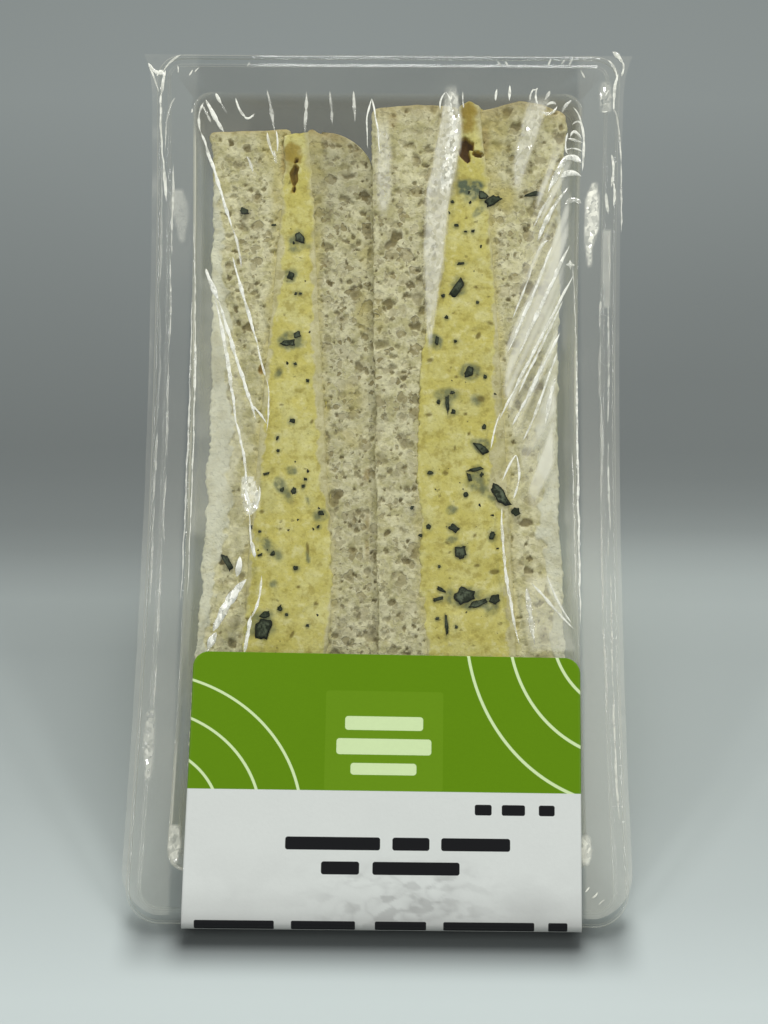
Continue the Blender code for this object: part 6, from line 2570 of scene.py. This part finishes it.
def main() -> None:
    """Builds the studio, then the pack from the inside out."""
    logging.basicConfig(level=logging.INFO, format="%(name)s: %(message)s")
    Studio().build()

    egg = EggFinish().material()
    herb = HerbFinish().material()
    slices = (
        BreadSlice("slice_a", "bread_a", LEFT, Role.OUTER, seed=101, tone=1.06,
                   top_drops=(0.7, 0.5, 0.3, 0.2, 0.1),
                   porous=((10, 0.75), (60, 0.40), (95, 0.30), (110, 0.45), (125, 0.8), (140, 0.8),
                           (150, 0.65), (160, 0.45)),
                   smears=(Spot(-22.6, 155.0, 3.8, 7.0, 0.60, 1.0),),
                   soaked=(Spot(-24.8, 108.0, 0.5, 0.9, 0.8), Spot(-20.9, 153.0, 0.9, 4.0, 0.5, 1.0)),
                   pressed_width=((10, 3.5), (56, 2.2), (66, 3.4), (80, 4.2), (100, 3.8), (120, 3.0),
                                  (135, 2.0), (146, 0.6), (150, 0.0)), crusted=0.0007),
        BreadSlice("slice_b", "bread_b", LEFT, Role.INNER, seed=202, tone=0.97,
                   top_drops=(0.1, 0.3, 0.8, 1.2, 0.6),
                   porous=((10, 0.85), (70, 0.8), (100, 1.0), (135, 1.0), (150, 0.75), (160, 0.55)),
                   smears=(Spot(-4.2, 120.2, 1.8, 4.0, 0.60, 1.1), Spot(-5.7, 102.3, 2.2, 3.0, 0.55, 1.1),
                           Spot(-6.6, 94.2, 2.2, 2.0, 0.60, 1.1), Spot(-3.4, 132.0, 1.6, 2.6, 0.5, 1.1)),
                   soaked=(Spot(-3.2, 86.6, 0.6, 1.3, 0.5, 0.9), Spot(-2.9, 77.2, 0.5, 1.5, 0.42, 0.9),
                           Spot(-2.9, 71.8, 0.5, 1.9, 0.34, 0.9), Spot(-16.6, 149.0, 0.6, 3.0, 0.3, 1.0)),
                   painted_shade=(Spot(-10.0, 149.0, 7.0, 9.0, 0.38, 1.2),), crusted=0.0020),
        BreadSlice("slice_c", "bread_c", RIGHT, Role.INNER, seed=303, tone=1.02,
                   top_drops=(1.0, 0.5, 0.2, 0.4, 0.6),
                   porous=((10, 0.65), (85, 0.70), (105, 0.95), (140, 0.95), (152, 0.7), (164, 0.4)),
                   smears=(Spot(-1.2, 118.0, 1.4, 4.0, 0.4, 1.1),),
                   soaked=(Spot(14.6, 156.0, 0.8, 4.0, 0.4, 1.0), Spot(1.2, 160.5, 1.0, 2.0, 0.35, 1.0)),
                   crusted=0.0014),
        BreadSlice("slice_d", "bread_d", RIGHT, Role.OUTER, seed=404, tone=1.09,
                   top_drops=(1.4, 0.3, -0.7, -0.1, 1.4),
                   porous=((10, 0.55), (60, 0.35), (95, 0.5), (120, 0.8), (140, 0.85), (155, 0.7),
                           (166, 0.5)),
                   smears=(Spot(20.4, 158.0, 4.0, 8.0, 0.75, 1.1), Spot(23.2, 143.8, 3.2, 2.8, 0.8, 0.9),
                           Spot(19.6, 148.0, 2.2, 5.0, 0.6, 1.1)),
                   soaked=(Spot(19.8, 155.5, 1.2, 3.4, 0.45, 1.1),),
                   painted_shade=(Spot(23.5, 157.0, 7.5, 9.0, 0.34, 1.2),),
                   pressed_width=((10, 3.5), (60, 2.4), (72, 3.0), (85, 3.8), (104, 3.2), (125, 2.2),
                                  (140, 1.0), (150, 0.4), (156, 0.0)), crusted=0.0020),
    )
    for piece in slices:
        piece.build()

    bits = scatter_tree()
    fillings = (
        Filling("filling_left", "egg_left", LEFT, seed=11, top_drops=(0.8, 0.3, 0.2),
                sunk=LEFT_SUNK, chips=LEFT_CHIPS, olives=LEFT_OLIVES,
                holes=(Spot(-19.4, 153.8, 1.5, 3.8, 0.40, 0.9), Spot(-18.9, 149.0, 0.8, 2.8, 0.72))),
        Filling("filling_right", "egg_right", RIGHT, seed=22, top_drops=(0.6, -1.2, 0.4),
                sunk=RIGHT_SUNK, chips=RIGHT_CHIPS, olives=RIGHT_OLIVES,
                holes=(Spot(16.2, 154.6, 1.2, 2.4, 1.0), Spot(18.2, 153.0, 1.3, 0.6, 0.8),
                       Spot(16.6, 160.5, 1.4, 3.6, 0.45, 1.0))),
    )
    for filling in fillings:
        filling.build(egg)
        filling.specks(bits, herb)
        side = "left" if filling.half is LEFT else "right"

        def surface(points: Array, filling: Filling = filling) -> Array:
            return filling.relief(points) - filling.half.cut_depth

        HerbBits(f"herbs_{side}", filling.half, filling.chips, surface, filling.seed + 60).build(herb)
    HerbBits("herbs_on_slice_a", LEFT, SLICE_HERBS, cut_height(LEFT, 0.0001), 81).build(herb)
    HerbBits("herbs_on_right_slices", RIGHT, SLICE_HERBS_RIGHT, cut_height(RIGHT, 0.0001), 82).build(herb)

    tray = ClearFinish("clear_tray", (0.98, 0.985, 0.98), index=1.42, roughness=0.05, patch_size=0.03,
                       haze=0.05, ripple_size=0.012, ripple_height=0.00003, edge_haze=0.8,
                       shade_mark="shade", dull_mark="dull", haze_mark="painted_highlight")
    film = ClearFinish("clear_film", (0.985, 0.985, 0.98), index=1.6, roughness=0.06, patch_size=0.02,
                       haze=0.04, ripple_size=0.006, ripple_height=0.00006,
                       haze_mark="haze", crinkle_mark="crinkle")
    pleat = ClearFinish("film_pleat", (0.98, 0.98, 0.97), index=1.5, roughness=0.12, patch_size=0.004,
                        haze=0.05, ripple_size=0.001, ripple_height=0.0001, least_mirror=0.08,
                        haze_mark="haze", crinkle_mark="crinkle", soft_sides=True,
                        haze_colour=(0.99, 0.99, 0.88))
    Tray(PACK).build(tray.material())
    Film(PACK).build(film.material(), pleat.material())
    Label(PACK).build(PaperFinish().material())


if __name__ == "__main__":
    main()
